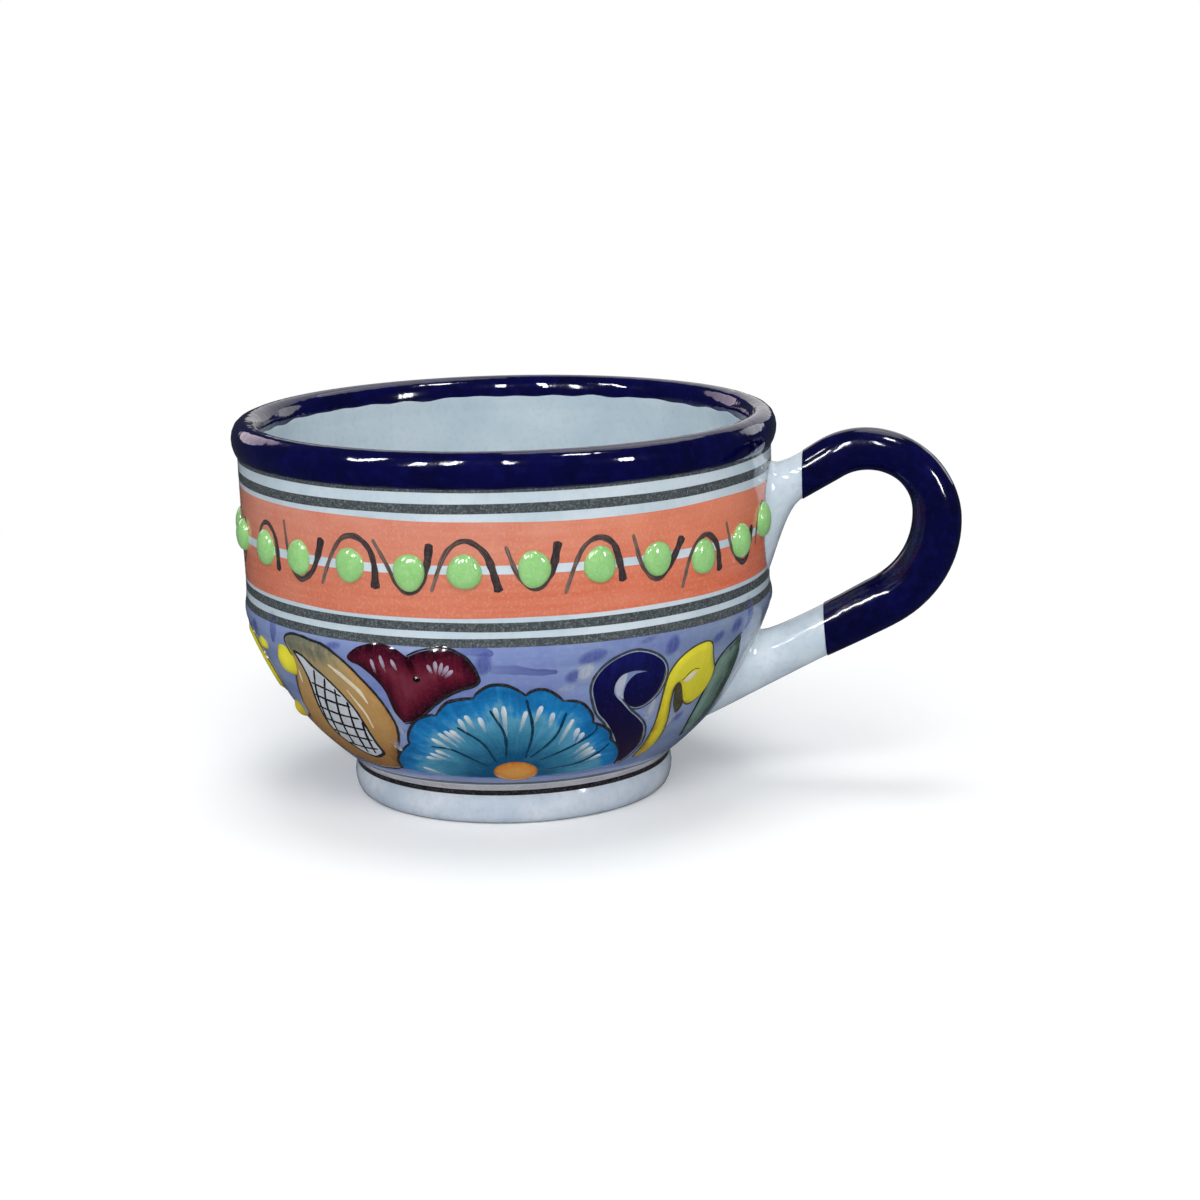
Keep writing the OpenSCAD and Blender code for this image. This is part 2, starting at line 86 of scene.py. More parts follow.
def on_side(degrees, height, lift):
    """Points in metres on the bowl's outside, lifted square to it by millimetres."""
    degrees, height, lift = np.broadcast_arrays(np.asarray(degrees, float), height, lift)
    lean = np.arctan(np.interp(height, fine_z, fine_tilt))
    radius = side_radius(height) + lift * np.cos(lean)
    turn = np.radians(degrees)
    return np.stack([radius * np.cos(turn), radius * np.sin(turn), height - lift * np.sin(lean)], axis=-1) * MM


def start_ring(name, points):
    """Circle pulled to points in metres, left in edit mode."""
    bpy.ops.object.select_all(action="DESELECT")
    bpy.ops.mesh.primitive_circle_add(vertices=len(points), radius=1)
    piece = bpy.context.object
    piece.name = name
    for vert, point in zip(piece.data.vertices, points):
        vert.co = point
    bpy.ops.object.mode_set(mode="EDIT")
    return piece


def face_outwards():
    """Turn the faces of the piece in edit mode outwards, and leave edit mode."""
    bpy.ops.mesh.select_all(action="SELECT")
    bpy.ops.mesh.normals_make_consistent(inside=False)
    bpy.ops.object.mode_set(mode="OBJECT")


def throw(name, section, closed=False):
    """Turn a section of radius and height round the axis, as clay on the wheel."""
    piece = start_ring(name, [(radius * MM, 0, height * MM) for radius, height in section])
    if not closed:
        bpy.ops.mesh.select_all(action="DESELECT")
        bpy.ops.mesh.select_mode(type="EDGE")
        drawn = bmesh.from_edit_mesh(piece.data)
        ends = {0, len(section) - 1}
        for edge in drawn.edges:
            edge.select = {vert.index for vert in edge.verts} == ends
        bmesh.update_edit_mesh(piece.data)
        bpy.ops.mesh.delete(type="EDGE")
        bpy.ops.mesh.select_mode(type="VERT")
    bpy.ops.mesh.select_all(action="SELECT")
    bpy.ops.mesh.spin(steps=WHEEL_STEPS, angle=2 * math.pi, center=(0, 0, 0), axis=(0, 0, 1))
    bpy.ops.mesh.select_all(action="SELECT")
    bpy.ops.mesh.remove_doubles(threshold=1e-6)
    face_outwards()
    return piece


def pick(*pieces):
    """Select these pieces alone, with the first of them active."""
    bpy.ops.object.select_all(action="DESELECT")
    for piece in pieces:
        piece.select_set(True)
    bpy.context.view_layer.objects.active = pieces[0]


def soften(piece, degrees=40):
    """Smooth shading that keeps a piece's true edges."""
    pick(piece)
    bpy.ops.object.shade_smooth_by_angle(angle=math.radians(degrees))


def srgb(red, green, blue):
    """Colour as a painter reads it off the mug, in 0 to 255, made linear."""
    return tuple((c / 255 / 12.92 if c < 10.3 else ((c / 255 + 0.055) / 1.055) ** 2.4)
                 for c in (red, green, blue)) + (1.0,)


def socketed_group(name, inputs, outputs):
    """Empty node group with named sockets and its two end nodes."""
    group = bpy.data.node_groups.new(name, "ShaderNodeTree")
    for label, kind in inputs:
        group.interface.new_socket(name=label, in_out="INPUT", socket_type=kind)
    for label, kind in outputs:
        group.interface.new_socket(name=label, in_out="OUTPUT", socket_type=kind)
    return group, group.nodes.new("NodeGroupInput"), group.nodes.new("NodeGroupOutput")


def wire(tree, *pairs):
    """Join pairs of sockets."""
    for source, target in pairs:
        tree.links.new(source, target)


def add_place(tree):
    """Place on the mug, in its own coordinates."""
    return tree.nodes.new("ShaderNodeTexCoord").outputs["Object"]


def add_group(tree, group, values):
    """Node group placed in a material with its own values."""
    node = tree.nodes.new("ShaderNodeGroup")
    node.node_tree = group
    for label, value in values.items():
        node.inputs[label].default_value = value
    return node


def add_noise(tree, vector, scale, detail):
    """Noise on a vector, whose scale is a number or a socket."""
    noise = tree.nodes.new("ShaderNodeTexNoise")
    noise.inputs["Detail"].default_value = detail
    wire(tree, (vector, noise.inputs["Vector"]))
    if isinstance(scale, (int, float)):
        noise.inputs["Scale"].default_value = scale
    else:
        wire(tree, (scale, noise.inputs["Scale"]))
    return noise.outputs["Fac"]


def add_range(tree, value, low, high, to_low=0.0, to_high=1.0):
    """Value carried from one range to another, held at the ends."""
    node = tree.nodes.new("ShaderNodeMapRange")
    for label, number in (("From Min", low), ("From Max", high), ("To Min", to_low), ("To Max", to_high)):
        node.inputs[label].default_value = number
    wire(tree, (value, node.inputs["Value"]))
    return node.outputs["Result"]


def add_times(tree, value, other):
    """Product of two values."""
    node = tree.nodes.new("ShaderNodeMath")
    node.operation = "MULTIPLY"
    wire(tree, (value, node.inputs[0]))
    if isinstance(other, (int, float)):
        node.inputs[1].default_value = other
    else:
        wire(tree, (other, node.inputs[1]))
    return node.outputs[0]


def add_plus(tree, value, other):
    """Sum of two values."""
    node = tree.nodes.new("ShaderNodeMath")
    wire(tree, (value, node.inputs[0]), (other, node.inputs[1]))
    return node.outputs[0]


def add_mix(tree, share, first, second):
    """Blend of two colours, each a socket or a fixed colour."""
    node = tree.nodes.new("ShaderNodeMix")
    node.data_type = "RGBA"
    wire(tree, (share, node.inputs[0]))
    for colour, slot in ((first, node.inputs[6]), (second, node.inputs[7])):
        if isinstance(colour, tuple):
            slot.default_value = colour
        else:
            wire(tree, (colour, slot))
    return node.outputs[2]


# Fired glaze: clouds where the coat pools, fine specks, a gloss that wanders and the ripple of a melted coat
fired, fired_in, fired_out = socketed_group(
    "fired glaze",
    [("Colour", "NodeSocketColor"), ("Pooled", "NodeSocketColor"), ("Speck", "NodeSocketColor"),
     ("Cloud Scale", "NodeSocketFloat"), ("Cloud Share", "NodeSocketFloat"),
     ("Speck Scale", "NodeSocketFloat"), ("Speck Share", "NodeSocketFloat")],
    [("Colour", "NodeSocketColor"), ("Roughness", "NodeSocketFloat"), ("Height", "NodeSocketFloat")])
place = add_place(fired)
cloud = add_noise(fired, place, fired_in.outputs["Cloud Scale"], 4)
speck = add_noise(fired, place, fired_in.outputs["Speck Scale"], 2)
ripple = add_noise(fired, place, 170.0, 2)
cloud_mask = add_times(fired, add_range(fired, cloud, 0.36, 0.66), fired_in.outputs["Cloud Share"])
speck_mask = add_times(fired, add_range(fired, speck, 0.5, 0.68), fired_in.outputs["Speck Share"])
pooled = add_mix(fired, cloud_mask, fired_in.outputs["Colour"], fired_in.outputs["Pooled"])
wire(fired,
     (add_mix(fired, speck_mask, pooled, fired_in.outputs["Speck"]), fired_out.inputs["Colour"]),
     (add_range(fired, cloud, 0.3, 0.7, 0.05, 0.13), fired_out.inputs["Roughness"]),
     (add_plus(fired, add_times(fired, ripple, 0.8), add_times(fired, speck, 0.06)), fired_out.inputs["Height"]))


def glaze(name, colour, pooled, speck, cloud=(220, 0.6), grain=(1500, 0.25), bump=0.12):
    """Material of a fired coat; returns it with its tree and the node that takes the colour."""
    material = bpy.data.materials.new(name)
    material.use_nodes = True
    tree = material.node_tree
    shader = tree.nodes["Principled BSDF"]
    shader.inputs["IOR"].default_value = GLAZE_IOR
    coat = add_group(tree, fired, {
        "Colour": colour, "Pooled": pooled, "Speck": speck, "Cloud Scale": cloud[0], "Cloud Share": cloud[1],
        "Speck Scale": grain[0], "Speck Share": grain[1]})
    relief = tree.nodes.new("ShaderNodeBump")
    relief.inputs["Strength"].default_value = bump
    relief.inputs["Distance"].default_value = RELIEF_DEPTH
    wire(tree,
         (coat.outputs["Colour"], shader.inputs["Base Color"]),
         (coat.outputs["Roughness"], shader.inputs["Roughness"]),
         (coat.outputs["Height"], relief.inputs["Height"]),
         (relief.outputs["Normal"], shader.inputs["Normal"]))
    return material, tree, coat


outside = [(side_radius(z), z) for z in np.linspace(NECK, SEAT, 96)]
inside = []
for height in np.linspace(SEAT, FOLLOWED_TO, 60):
    lean = math.atan(np.interp(height, fine_z, fine_tilt))
    inside.append((side_radius(height) - CLAY_WALL * math.cos(lean), height + CLAY_WALL * math.sin(lean)))
inside = [(radius, height) for radius, height in inside if INSIDE_LOW < height < INSIDE_HIGH]
bowl = throw("thrown_bowl", BOSS + outside + LAP + inside + FLOOR)
soften(bowl, 50)
white_glaze, _, _ = glaze("tin white glaze", srgb(207, 218, 225), srgb(182, 201, 210), srgb(150, 168, 180),
                          cloud=(70, 0.7), grain=(900, 0.12))
bowl.data.materials.append(white_glaze)
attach(bowl, "root")
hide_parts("bowl")

# Foot ring
# The turned ring that the mug stands on, the same clay and white glaze as the bowl. It is luted round the
# boss under the floor, and its lower edges are wiped soft with a sponge before firing.
FOOT = [(26, 7), (26, 1.6), (26.3, 0.7), (27, 0.15), (28, 0), (31, 0), (31.8, 0.15), (32.5, 0.7), (33, 1.7),
        (33.3, 2.9), (33.42, 4.2), (33.25, 5.4), (32.9, 6.2), (32.75, 7)]
foot = throw("foot_ring_white", FOOT, closed=True)
soften(foot)
foot_glaze, _, _ = glaze("white foot glaze", srgb(222, 229, 238), srgb(188, 203, 218), srgb(126, 136, 154),
                         cloud=(110, 0.8), grain=(700, 0.12))
foot.data.materials.append(foot_glaze)
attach(foot, "root")
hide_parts("foot_ring")

# Rim roll
# The rolled lip, luted on the flat top of the wall and dipped in cobalt glaze. The dip runs a little way
# down the inside, where the white laps up to it in an edge as wavy as the hand that turned it.
RIM = [(54.97, 72.25), (55.2, 72.35), (55.6, 73.15), (55.95, 74.35), (56.05, 75.6), (55.85, 76.8), (55.3, 78),
       (54.5, 78.75), (53.5, 79.15), (52.5, 79.15), (51.5, 78.8), (50.7, 78.1), (50.1, 77), (49.8, 75.6),
       (49.75, 74.4), (49.8, 73.3), (50.6, 73.1)]
# Size of the waves in the edge inside, and how many of each there are in a round
DIP_WAVE = 0.13
DIP_COUNTS = (4, 9, 14, 21, 29, 37)
COBALT_IOR = 1.42
rim = throw("rolled_rim", RIM, closed=True)
ripples = random.Random(3)
dip = [(n, ripples.uniform(0.5, 1), ripples.uniform(0, 6.3)) for n in DIP_COUNTS]
for vert in bowl.data.vertices:
    if abs(vert.co.z / MM - LAP_TOP) < 0.01:
        turn = math.atan2(vert.co.y, vert.co.x)
        vert.co.z += DIP_WAVE * MM * sum(size * math.sin(n * turn + start) for n, size, start in dip)
soften(rim, 60)
cobalt_glaze, tree, _ = glaze("cobalt glaze", srgb(7, 7, 60), srgb(3, 3, 36), srgb(18, 20, 90),
                              cloud=(120, 0.7), grain=(500, 0.25), bump=0.45)
tree.nodes["Principled BSDF"].inputs["IOR"].default_value = COBALT_IOR
rim.data.materials.append(cobalt_glaze)
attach(rim, "root")
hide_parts("rim_roll")

# Handle
# A round coil of clay bent into a loop, cobalt glazed over all but its two ends. Its upper arm leans down to
# the wall and its lower arm to the belly, and the blue stops in a brushed edge short of the clay joints.
LOOP_MIDDLE = (74.55, 56.9)
LOOP_RADIUS, LOWER_RADIUS = 14.1, 19.8
UPPER_TURN, LOWER_TURN = 120.0, -63.0
COIL_STEPS = 48
# Length of blue on each arm, and how far its edge leans off square, which leaves it upright
UPPER_BLUE, LOWER_BLUE = 7.0, 13.3
UPPER_LEAN, LOWER_LEAN = 2.5, 2.1
# How far from an edge the lean dies away
LEAN_REACH = 9
# Half the coil's thickness along the way from the upper end to the lower
COIL_HALF = [4.4, 4.5, 4.4, 4.3, 4.3, 4.55, 4.95, 5.2, 5.35, 5.4, 5.4, 5.25, 5.1]


def loop_point(turn):
    """Middle of the coil on the loop, which is tighter above its middle than below it."""
    radius = LOOP_RADIUS if turn > 0 else LOWER_RADIUS
    turn = math.radians(turn)
    return Vector((LOOP_MIDDLE[0] + LOOP_RADIUS - radius + radius * math.cos(turn), 0,
                   LOOP_MIDDLE[1] + radius * math.sin(turn)))


def loop_run(turn):
    """Direction along the loop, from its upper end round to its lower end."""
    turn = math.radians(turn)
    return Vector((math.sin(turn), 0, -math.cos(turn)))


def draw_coil(name, rings):
    """Extrude a ring of points through the given rings and close both ends."""
    piece = start_ring(name, [point * MM for point in rings[0]])
    bpy.ops.mesh.select_all(action="SELECT")
    bpy.ops.mesh.edge_face_add()
    bpy.ops.mesh.select_all(action="SELECT")
    for before, ring in zip(rings, rings[1:]):
        bpy.ops.mesh.extrude_region_move()
        shape = bmesh.from_edit_mesh(piece.data)
        for vert in [vert for vert in shape.verts if vert.select]:
            nearest = min(range(len(before)), key=lambda i: (before[i] * MM - vert.co).length_squared)
            vert.co = ring[nearest] * MM
        bmesh.update_edit_mesh(piece.data)
    face_outwards()
    return piece


def coil_ring(middle, run, half, lean=0.0):
    """Ring of points round the coil, which leans off square by pushing its points along the coil."""
    up = Vector((-run.z, 0, run.x))
    ring = []
    for i in range(COIL_STEPS):
        turn = 2 * math.pi * i / COIL_STEPS
        swell = 1 + 0.012 * math.sin(3 * turn + middle.x * 0.3) + 0.008 * math.sin(2 * turn + middle.z * 0.25)
        around = up * math.cos(turn) + Vector((0, 1, 0)) * math.sin(turn)
        ring.append(middle + around * half * swell + run * lean * math.cos(turn))
    return ring


upper_end, upper_run = loop_point(UPPER_TURN), loop_run(UPPER_TURN)
lower_end, lower_run = loop_point(LOWER_TURN), loop_run(LOWER_TURN)
stations = [(upper_end - upper_run * d, upper_run) for d in np.linspace(UPPER_BLUE, 0.8, 8)]
stations += [(loop_point(turn), loop_run(turn)) for turn in np.linspace(UPPER_TURN, LOWER_TURN, 56)]
stations += [(lower_end + lower_run * d, lower_run) for d in np.linspace(0.9, LOWER_BLUE, 16)]
way = np.cumsum([0] + [(after[0] - before[0]).length for before, after in zip(stations, stations[1:])])
halves = np.interp(way / way[-1], np.linspace(0, 1, len(COIL_HALF)), COIL_HALF)
leans = [UPPER_LEAN * max(0, 1 - w / LEAN_REACH) + LOWER_LEAN * max(0, 1 - (way[-1] - w) / LEAN_REACH) for w in way]
handle = draw_coil("looped_handle", [coil_ring(middle, run, half, lean)
                                     for (middle, run), half, lean in zip(stations, halves, leans)])
soften(handle, 50)
handle.data.materials.append(cobalt_glaze)
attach(handle, "root")
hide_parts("handle")

# Slip joints
# White clay slip that lutes the handle's ends to the bowl, smoothed out over the wall with a wet finger.
# The upper one is drawn down the wall in a long tail, and the lower one is a plain flare on the belly.
SLIP_RINGS = 18
# How deep the slip's thin edge and its hidden root lie in the wall
SLIP_SINK, SLIP_ROOT = -0.15, -1.2
# Share of its way, first to the wall and then along it, at which the slip bends
SLIP_BEND = 0.45
# How far the slip's end is thinner than the coil that it holds
SLIP_THINNER = 0.2
# How far along a straight line the wall is looked for, and in how many steps
WALL_REACH, WALL_STEPS = 45, 900


def meets_side(point, run):
    """Where a straight line from a point first meets the bowl's outside."""
    for far in np.linspace(0, WALL_REACH, WALL_STEPS):
        here = point + run * far
        if math.hypot(here.x, here.y) <= side_radius(here.z):
            break
    return here


def slip_joint(name, end, run, half, lean, flare):
    """Flare from a coil's end to the bowl, smeared along the wall as far as the flare says at each turn."""
    rings = [coil_ring(end - run, run, half, lean), coil_ring(end, run, half, lean)]
    start = rings[-1]
    hits = [meets_side(point, run) for point in start]
    middle = sum((hit.z for hit in hits)) / len(hits)
    knees, landing = [], []
    for i, hit in enumerate(hits):
        smear = flare(2 * math.pi * i / COIL_STEPS)
        away = math.hypot(hit.y, hit.z - middle)
        for share, lift, line in ((SLIP_BEND, 0.4 + 0.14 * smear, knees), (1.0, SLIP_SINK, landing)):
            height = middle + (hit.z - middle) * (1 + share * smear / away)
            across = hit.y * (1 + share * smear / away)
            degrees = math.degrees(across / side_radius(height))
            line.append(Vector(on_side(degrees, height, lift)) / MM)
    for k in range(1, SLIP_RINGS + 1):
        t = k / SLIP_RINGS
        ring = []
        for here, hit, knee, there in zip(start, hits, knees, landing):
            first = here + run * (hit - here).length * SLIP_BEND
            ring.append(here * (1 - t) ** 3 + first * (3 * t * (1 - t) ** 2)
                        + knee * (3 * t * t * (1 - t)) + there * t ** 3)
        rings.append(ring)
    piece = draw_coil(name, rings + [[point + Vector((SLIP_ROOT, 0, 0)) for point in landing]])
    soften(piece, 60)
    return piece


def upper_flare(turn):
    """A short flare with a long tail below."""
    return 2.0 + 1.6 * math.sin(turn) ** 2 + 9.5 * max(0, math.cos(turn)) ** 2


def lower_flare(turn):
    """A short flare all round."""
    return 1.4 - 0.6 * math.cos(turn) + 1.0 * math.sin(turn) ** 2


slip_glaze, _, _ = glaze("white slip glaze", srgb(218, 229, 236), srgb(190, 206, 218), srgb(130, 145, 165),
                         cloud=(140, 0.75), grain=(800, 0.12), bump=0.3)
upper_slip = slip_joint("upper_slip", upper_end - upper_run * UPPER_BLUE, -upper_run,
                        COIL_HALF[0] - SLIP_THINNER, UPPER_LEAN, upper_flare)
lower_slip = slip_joint("lower_slip", lower_end + lower_run * LOWER_BLUE, lower_run,
                        COIL_HALF[-1] - SLIP_THINNER, LOWER_LEAN, lower_flare)
for piece, node in ((upper_slip, "upper_slip_joint"), (lower_slip, "lower_slip_joint")):
    piece.data.materials.append(slip_glaze)
    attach(piece, "root")
    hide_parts(node)

# Dark stripes
# Four thin lines of dark underglaze, each drawn with the brush held still while the bowl turns. The pigment
# is coarse, so they are grainy, and their edges waver with the hand.
BAND_LIFT, BAND_THICK = 0.03, 0.12
# Lower and upper edge of each stripe, and how far it wavers
STRIPES = [(71.62, 72.35, 0.12), (67.6, 69.45, 0.3), (44.87, 46.72, 0.15), (41.8, 43.53, 0.15)]


def waver(turn, seed, size):
    """Slow wander of a brush held against the turning bowl."""
    rng = random.Random(seed)
    return size * sum(rng.uniform(0.4, 1) / n ** 0.5 * math.sin(n * turn + rng.uniform(0, 6.3))
                      for n in (1, 2, 3, 5, 8, 13))


def glaze_band(name, low, high, low_edge, high_edge, rows, lift=BAND_LIFT):
    """Coat brushed round the bowl between two edges that are functions of the turn."""
    piece = throw(name, [(side_radius(z), z) for z in np.linspace(low, high, rows)])
    for vert in piece.data.vertices:
        turn = math.atan2(vert.co.y, vert.co.x)
        share = (vert.co.z / MM - low) / (high - low)
        height = low_edge(turn) + share * (high_edge(turn) - low_edge(turn))
        vert.co = on_side(math.degrees(turn), height, lift)
    pick(piece)
    bpy.ops.object.mode_set(mode="EDIT")
    face_outwards()
    coat = piece.modifiers.new("coat", "SOLIDIFY")
    coat.thickness = BAND_THICK * MM
    coat.offset = -1
    bpy.ops.object.modifier_apply(modifier=coat.name)
    soften(piece)
    return piece


def fused(name, pieces):
    """Pieces of one coat joined as one object."""
    pick(*pieces)
    bpy.ops.object.join()
    pieces[0].name = name
    return pieces[0]


stripes = []
for i, (low, high, size) in enumerate(STRIPES):
    def sway(turn, i=i, size=size * 0.35):
        """Wander that both edges of a stripe share."""
        return waver(turn, 10 + i, size)

    stripes.append(glaze_band("stripe", low, high, lambda turn: low + sway(turn) + waver(turn, 30 + i, 0.06),
                              lambda turn: high + sway(turn) + waver(turn, 50 + i, 0.06), 4))
dark_stripes = fused("dark_stripe_lines", stripes)
stripe_paint, _, _ = glaze("grainy dark line", srgb(80, 86, 88), srgb(54, 60, 62), srgb(132, 138, 140),
                           cloud=(1100, 0.7), grain=(2400, 0.5), bump=0.1)
dark_stripes.data.materials.append(stripe_paint)
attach(dark_stripes, "root")
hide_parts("dark_stripes")

# Orange bands
# Two bands of orange glaze with a white line left between them, brushed on the turning bowl. The coat is
# paler near the top edge, partly because it is thinner where the brush lifted and partly as painted sheen,
# and it is paler on the left than towards the handle, which is painted sheen.
ORANGE_LOW, ORANGE_HIGH = 47.45, 66.1
WHITE_LINE = (55.85, 57.6)
# How far the top edge sinks to one side of the front and rises to the other
ORANGE_TILT = 0.5
# Degrees across the front are counted from the middle of the view in the photograph, which faces this turn
FRONT = -83.0

# Wheel brush: streaks that run round the bowl, for a coat laid while it turns
wheel_brush, brush_in, brush_out = socketed_group(
    "wheel brush", [("Fineness", "NodeSocketFloat")], [("Streak", "NodeSocketFloat")])
drawn_out = wheel_brush.nodes.new("ShaderNodeMapping")
drawn_out.inputs["Scale"].default_value = (0.06, 0.06, 1.0)
wire(wheel_brush, (add_place(wheel_brush), drawn_out.inputs["Vector"]))
streak = add_noise(wheel_brush, drawn_out.outputs["Vector"], brush_in.outputs["Fineness"], 5)
wire(wheel_brush, (add_range(wheel_brush, streak, 0.33, 0.67), brush_out.inputs["Streak"]))


def add_streaks(tree, fineness):
    """Streak mask of the wheel brush in a material."""
    return add_group(tree, wheel_brush, {"Fineness": fineness}).outputs["Streak"]


def add_way(tree, axis, low, high):
    """Share of the way between two places along an axis, in millimetres."""
    split = tree.nodes.new("ShaderNodeSeparateXYZ")
    wire(tree, (add_place(tree), split.inputs[0]))
    return add_range(tree, split.outputs[axis], low * MM, high * MM)


def orange_top(turn):
    """Top edge of the orange, which is lower on one side of the front."""
    return ORANGE_HIGH + waver(turn, 72, 0.22) - ORANGE_TILT * math.sin(turn - math.radians(FRONT))


upper_orange = glaze_band("upper_orange", WHITE_LINE[1], ORANGE_HIGH,
                          lambda turn: WHITE_LINE[1] + waver(turn, 71, 0.12), orange_top, 12)
lower_orange = glaze_band("lower_orange", ORANGE_LOW, WHITE_LINE[0],
                          lambda turn: ORANGE_LOW + waver(turn, 73, 0.15),
                          lambda turn: WHITE_LINE[0] + waver(turn, 74, 0.12), 12)
orange_bands = fused("orange_band_coats", [upper_orange, lower_orange])
orange_paint, tree, coat = glaze("brushed orange glaze", srgb(208, 118, 92), srgb(206, 106, 78),
                                 srgb(228, 162, 136), cloud=(130, 0.4), grain=(1700, 0.3))
# Paler up the band, partly thin coat and partly painted sheen; paler on the left than towards the handle as painted
# sheen
up_band = add_way(tree, "Z", 52, 66)
sheen_left_orange = add_mix(tree, up_band, srgb(207, 115, 88), srgb(213, 140, 119))
redder = add_mix(tree, up_band, srgb(222, 110, 76), srgb(233, 136, 101))
both = add_mix(tree, add_way(tree, "X", 8, 48), sheen_left_orange, redder)
wire(tree, (add_mix(tree, add_times(tree, add_streaks(tree, 900.0), 0.35), both, srgb(226, 156, 131)),
            coat.inputs["Colour"]))
orange_bands.data.materials.append(orange_paint)
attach(orange_bands, "root")
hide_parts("orange_bands")

# Lavender ground
# The wash behind the frieze, thin blue over white, laid on the belly in long strokes. Darker dabs of the same
# blue are dropped between the motifs afterwards.
GROUND_LOW, GROUND_HIGH = 9.65, 42.0
GROUND_LIFT = 0.012
ground = glaze_band("lavender_wash", GROUND_LOW, GROUND_HIGH,
                    lambda turn: GROUND_LOW + waver(turn, 81, 0.12),
                    lambda turn: GROUND_HIGH + waver(turn, 82, 0.05), 48, lift=GROUND_LIFT)
ground_paint, tree, coat = glaze("lavender wash", srgb(124, 138, 186), srgb(104, 120, 178), srgb(160, 174, 208),
                                 cloud=(60, 0.7), grain=(900, 0.15))
# Bluer on the left of the front and greyer towards the handle, which is painted shade
streaked = add_streaks(tree, 260.0)
bluer = add_mix(tree, streaked, srgb(118, 134, 184), srgb(150, 166, 202))
greyer_painted_shade = add_mix(tree, streaked, srgb(122, 136, 160), srgb(152, 166, 182))
wire(tree, (add_mix(tree, add_way(tree, "X", 15, 46), bluer, greyer_painted_shade), coat.inputs["Colour"]))
ground.data.materials.append(ground_paint)
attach(ground, "root")
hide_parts("lavender_ground")

# Degrees from the first frieze to each one
FRIEZE_TURNS = (0.0, -126.0, -239.0)
FRIEZES = (0, 1, 2)
# Depth to which a pool and a stroke of enamel reach into the glaze below
POOL_SINK, STROKE_SINK = -0.15, -0.1
# Shares of a stroke's half width at which its points lie
ACROSS_STROKE = (-1.0, -0.55, 0.0, 0.55, 1.0)
# Spacing of the points on an outline that is moved aside
OUTLINE_STEP = 0.4
# Step between the rows of points in a pool, as a share of the step along them
ROW_STEP = 0.87
# Shift of the brush hairs from one frieze to the next, and from one stroke to the next
FRIEZE_SHIFT, STROKE_SHIFT = 37, 3.7


def hand(outline, frieze):
    """Outline of the first frieze as the painter repeats it in another one, a little different each time."""
    points = np.array(outline, float)
    if frieze:
        rng = random.Random(400 + frieze)
        shift, sway, lilt = rng.uniform(-0.4, 0.4), rng.uniform(0.15, 0.4), rng.uniform(0, 6.3)
        points[:, 0] += shift + 0.5 * sway * np.cos(points[:, 1] * 0.3 + lilt)
        points[:, 1] += sway * np.sin(points[:, 0] * 0.12 + lilt)
    return points


def to_sheet(points, middle):
    """Degrees and heights as millimetres on a sheet laid on the bowl."""
    degrees, height = np.asarray(points, float).T
    return np.column_stack([np.radians(degrees - middle) * side_radius(height),
                            np.interp(height, fine_z, fine_run)])


def from_sheet(points, middle):
    """Millimetres on the sheet back to degrees and heights."""
    height = np.interp(points[:, 1], fine_run, fine_z)
    return np.column_stack([middle + np.degrees(points[:, 0] / side_radius(height)), height])


def curve(points, closed=False, steps=10):
    """Smooth curve through points."""
    points = np.asarray(points, float)
    if len(points) < 3:
        return points
    if closed:
        padded = np.vstack([points[-1:], points, points[:2]])
    else:
        padded = np.vstack([2 * points[0] - points[1], points, 2 * points[-1] - points[-2]])
    pieces = []
    for p0, p1, p2, p3 in zip(padded, padded[1:], padded[2:], padded[3:]):
        t = np.linspace(0, 1, steps, endpoint=False)[:, None]
        pieces.append((2 * p1 + (p2 - p0) * t + (2 * p0 - 5 * p1 + 4 * p2 - p3) * t ** 2
                       + (3 * p1 - p0 - 3 * p2 + p3) * t ** 3) / 2)
    return np.vstack(pieces if closed else pieces + [points[-1:]])


def sheet_line(points, frieze, middle, closed=False):
    """Smooth line on the sheet through the painter's points in one frieze."""
    return curve(to_sheet(hand(points, frieze), middle), closed)


def oval(wide, tall, count):
    """Oval round the sheet's origin, from half its width and half its height."""
    turn = np.linspace(0, 2 * math.pi, count, endpoint=False)
    return np.column_stack([wide * np.cos(turn), tall * np.sin(turn)])


def even(points, spacing, closed=False):
    """Curve with its points spread evenly."""
    if closed:
        points = np.vstack([points, points[:1]])
    steps = np.hypot(*np.diff(points, axis=0).T)
    points = points[np.concatenate([[True], steps > 1e-6])]
    run = np.concatenate([[0], np.cumsum(np.hypot(*np.diff(points, axis=0).T))])
    count = max(int(round(run[-1] / spacing)), 3)
    at = np.linspace(0, run[-1], count + 1)[: count if closed else count + 1]
    return np.column_stack([np.interp(at, run, points[:, k]) for k in (0, 1)])


def from_line(points, line, closed):
    """Distance of each point from a line of points."""
    ends = np.roll(line, -1, axis=0) if closed else line[1:]
    starts = line if closed else line[:-1]
    span = ends - starts
    length = np.maximum((span ** 2).sum(1), 1e-12)
    best = np.full(len(points), np.inf)
    for first, step, size in zip(starts, span, length):
        share = np.clip(((points - first) @ step) / size, 0, 1)
        best = np.minimum(best, np.hypot(*(points - first - share[:, None] * step).T))
    return best


def within(points, outline):
    """Which points lie inside a closed outline."""
    inside = np.zeros(len(points), bool)
    for (x0, y0), (x1, y1) in zip(outline, np.roll(outline, -1, axis=0)):
        crosses = (y0 > points[:, 1]) != (y1 > points[:, 1])
        with np.errstate(divide="ignore", invalid="ignore"):
            inside ^= crosses & (points[:, 0] < x0 + (points[:, 1] - y0) * (x1 - x0) / (y1 - y0))
    return inside


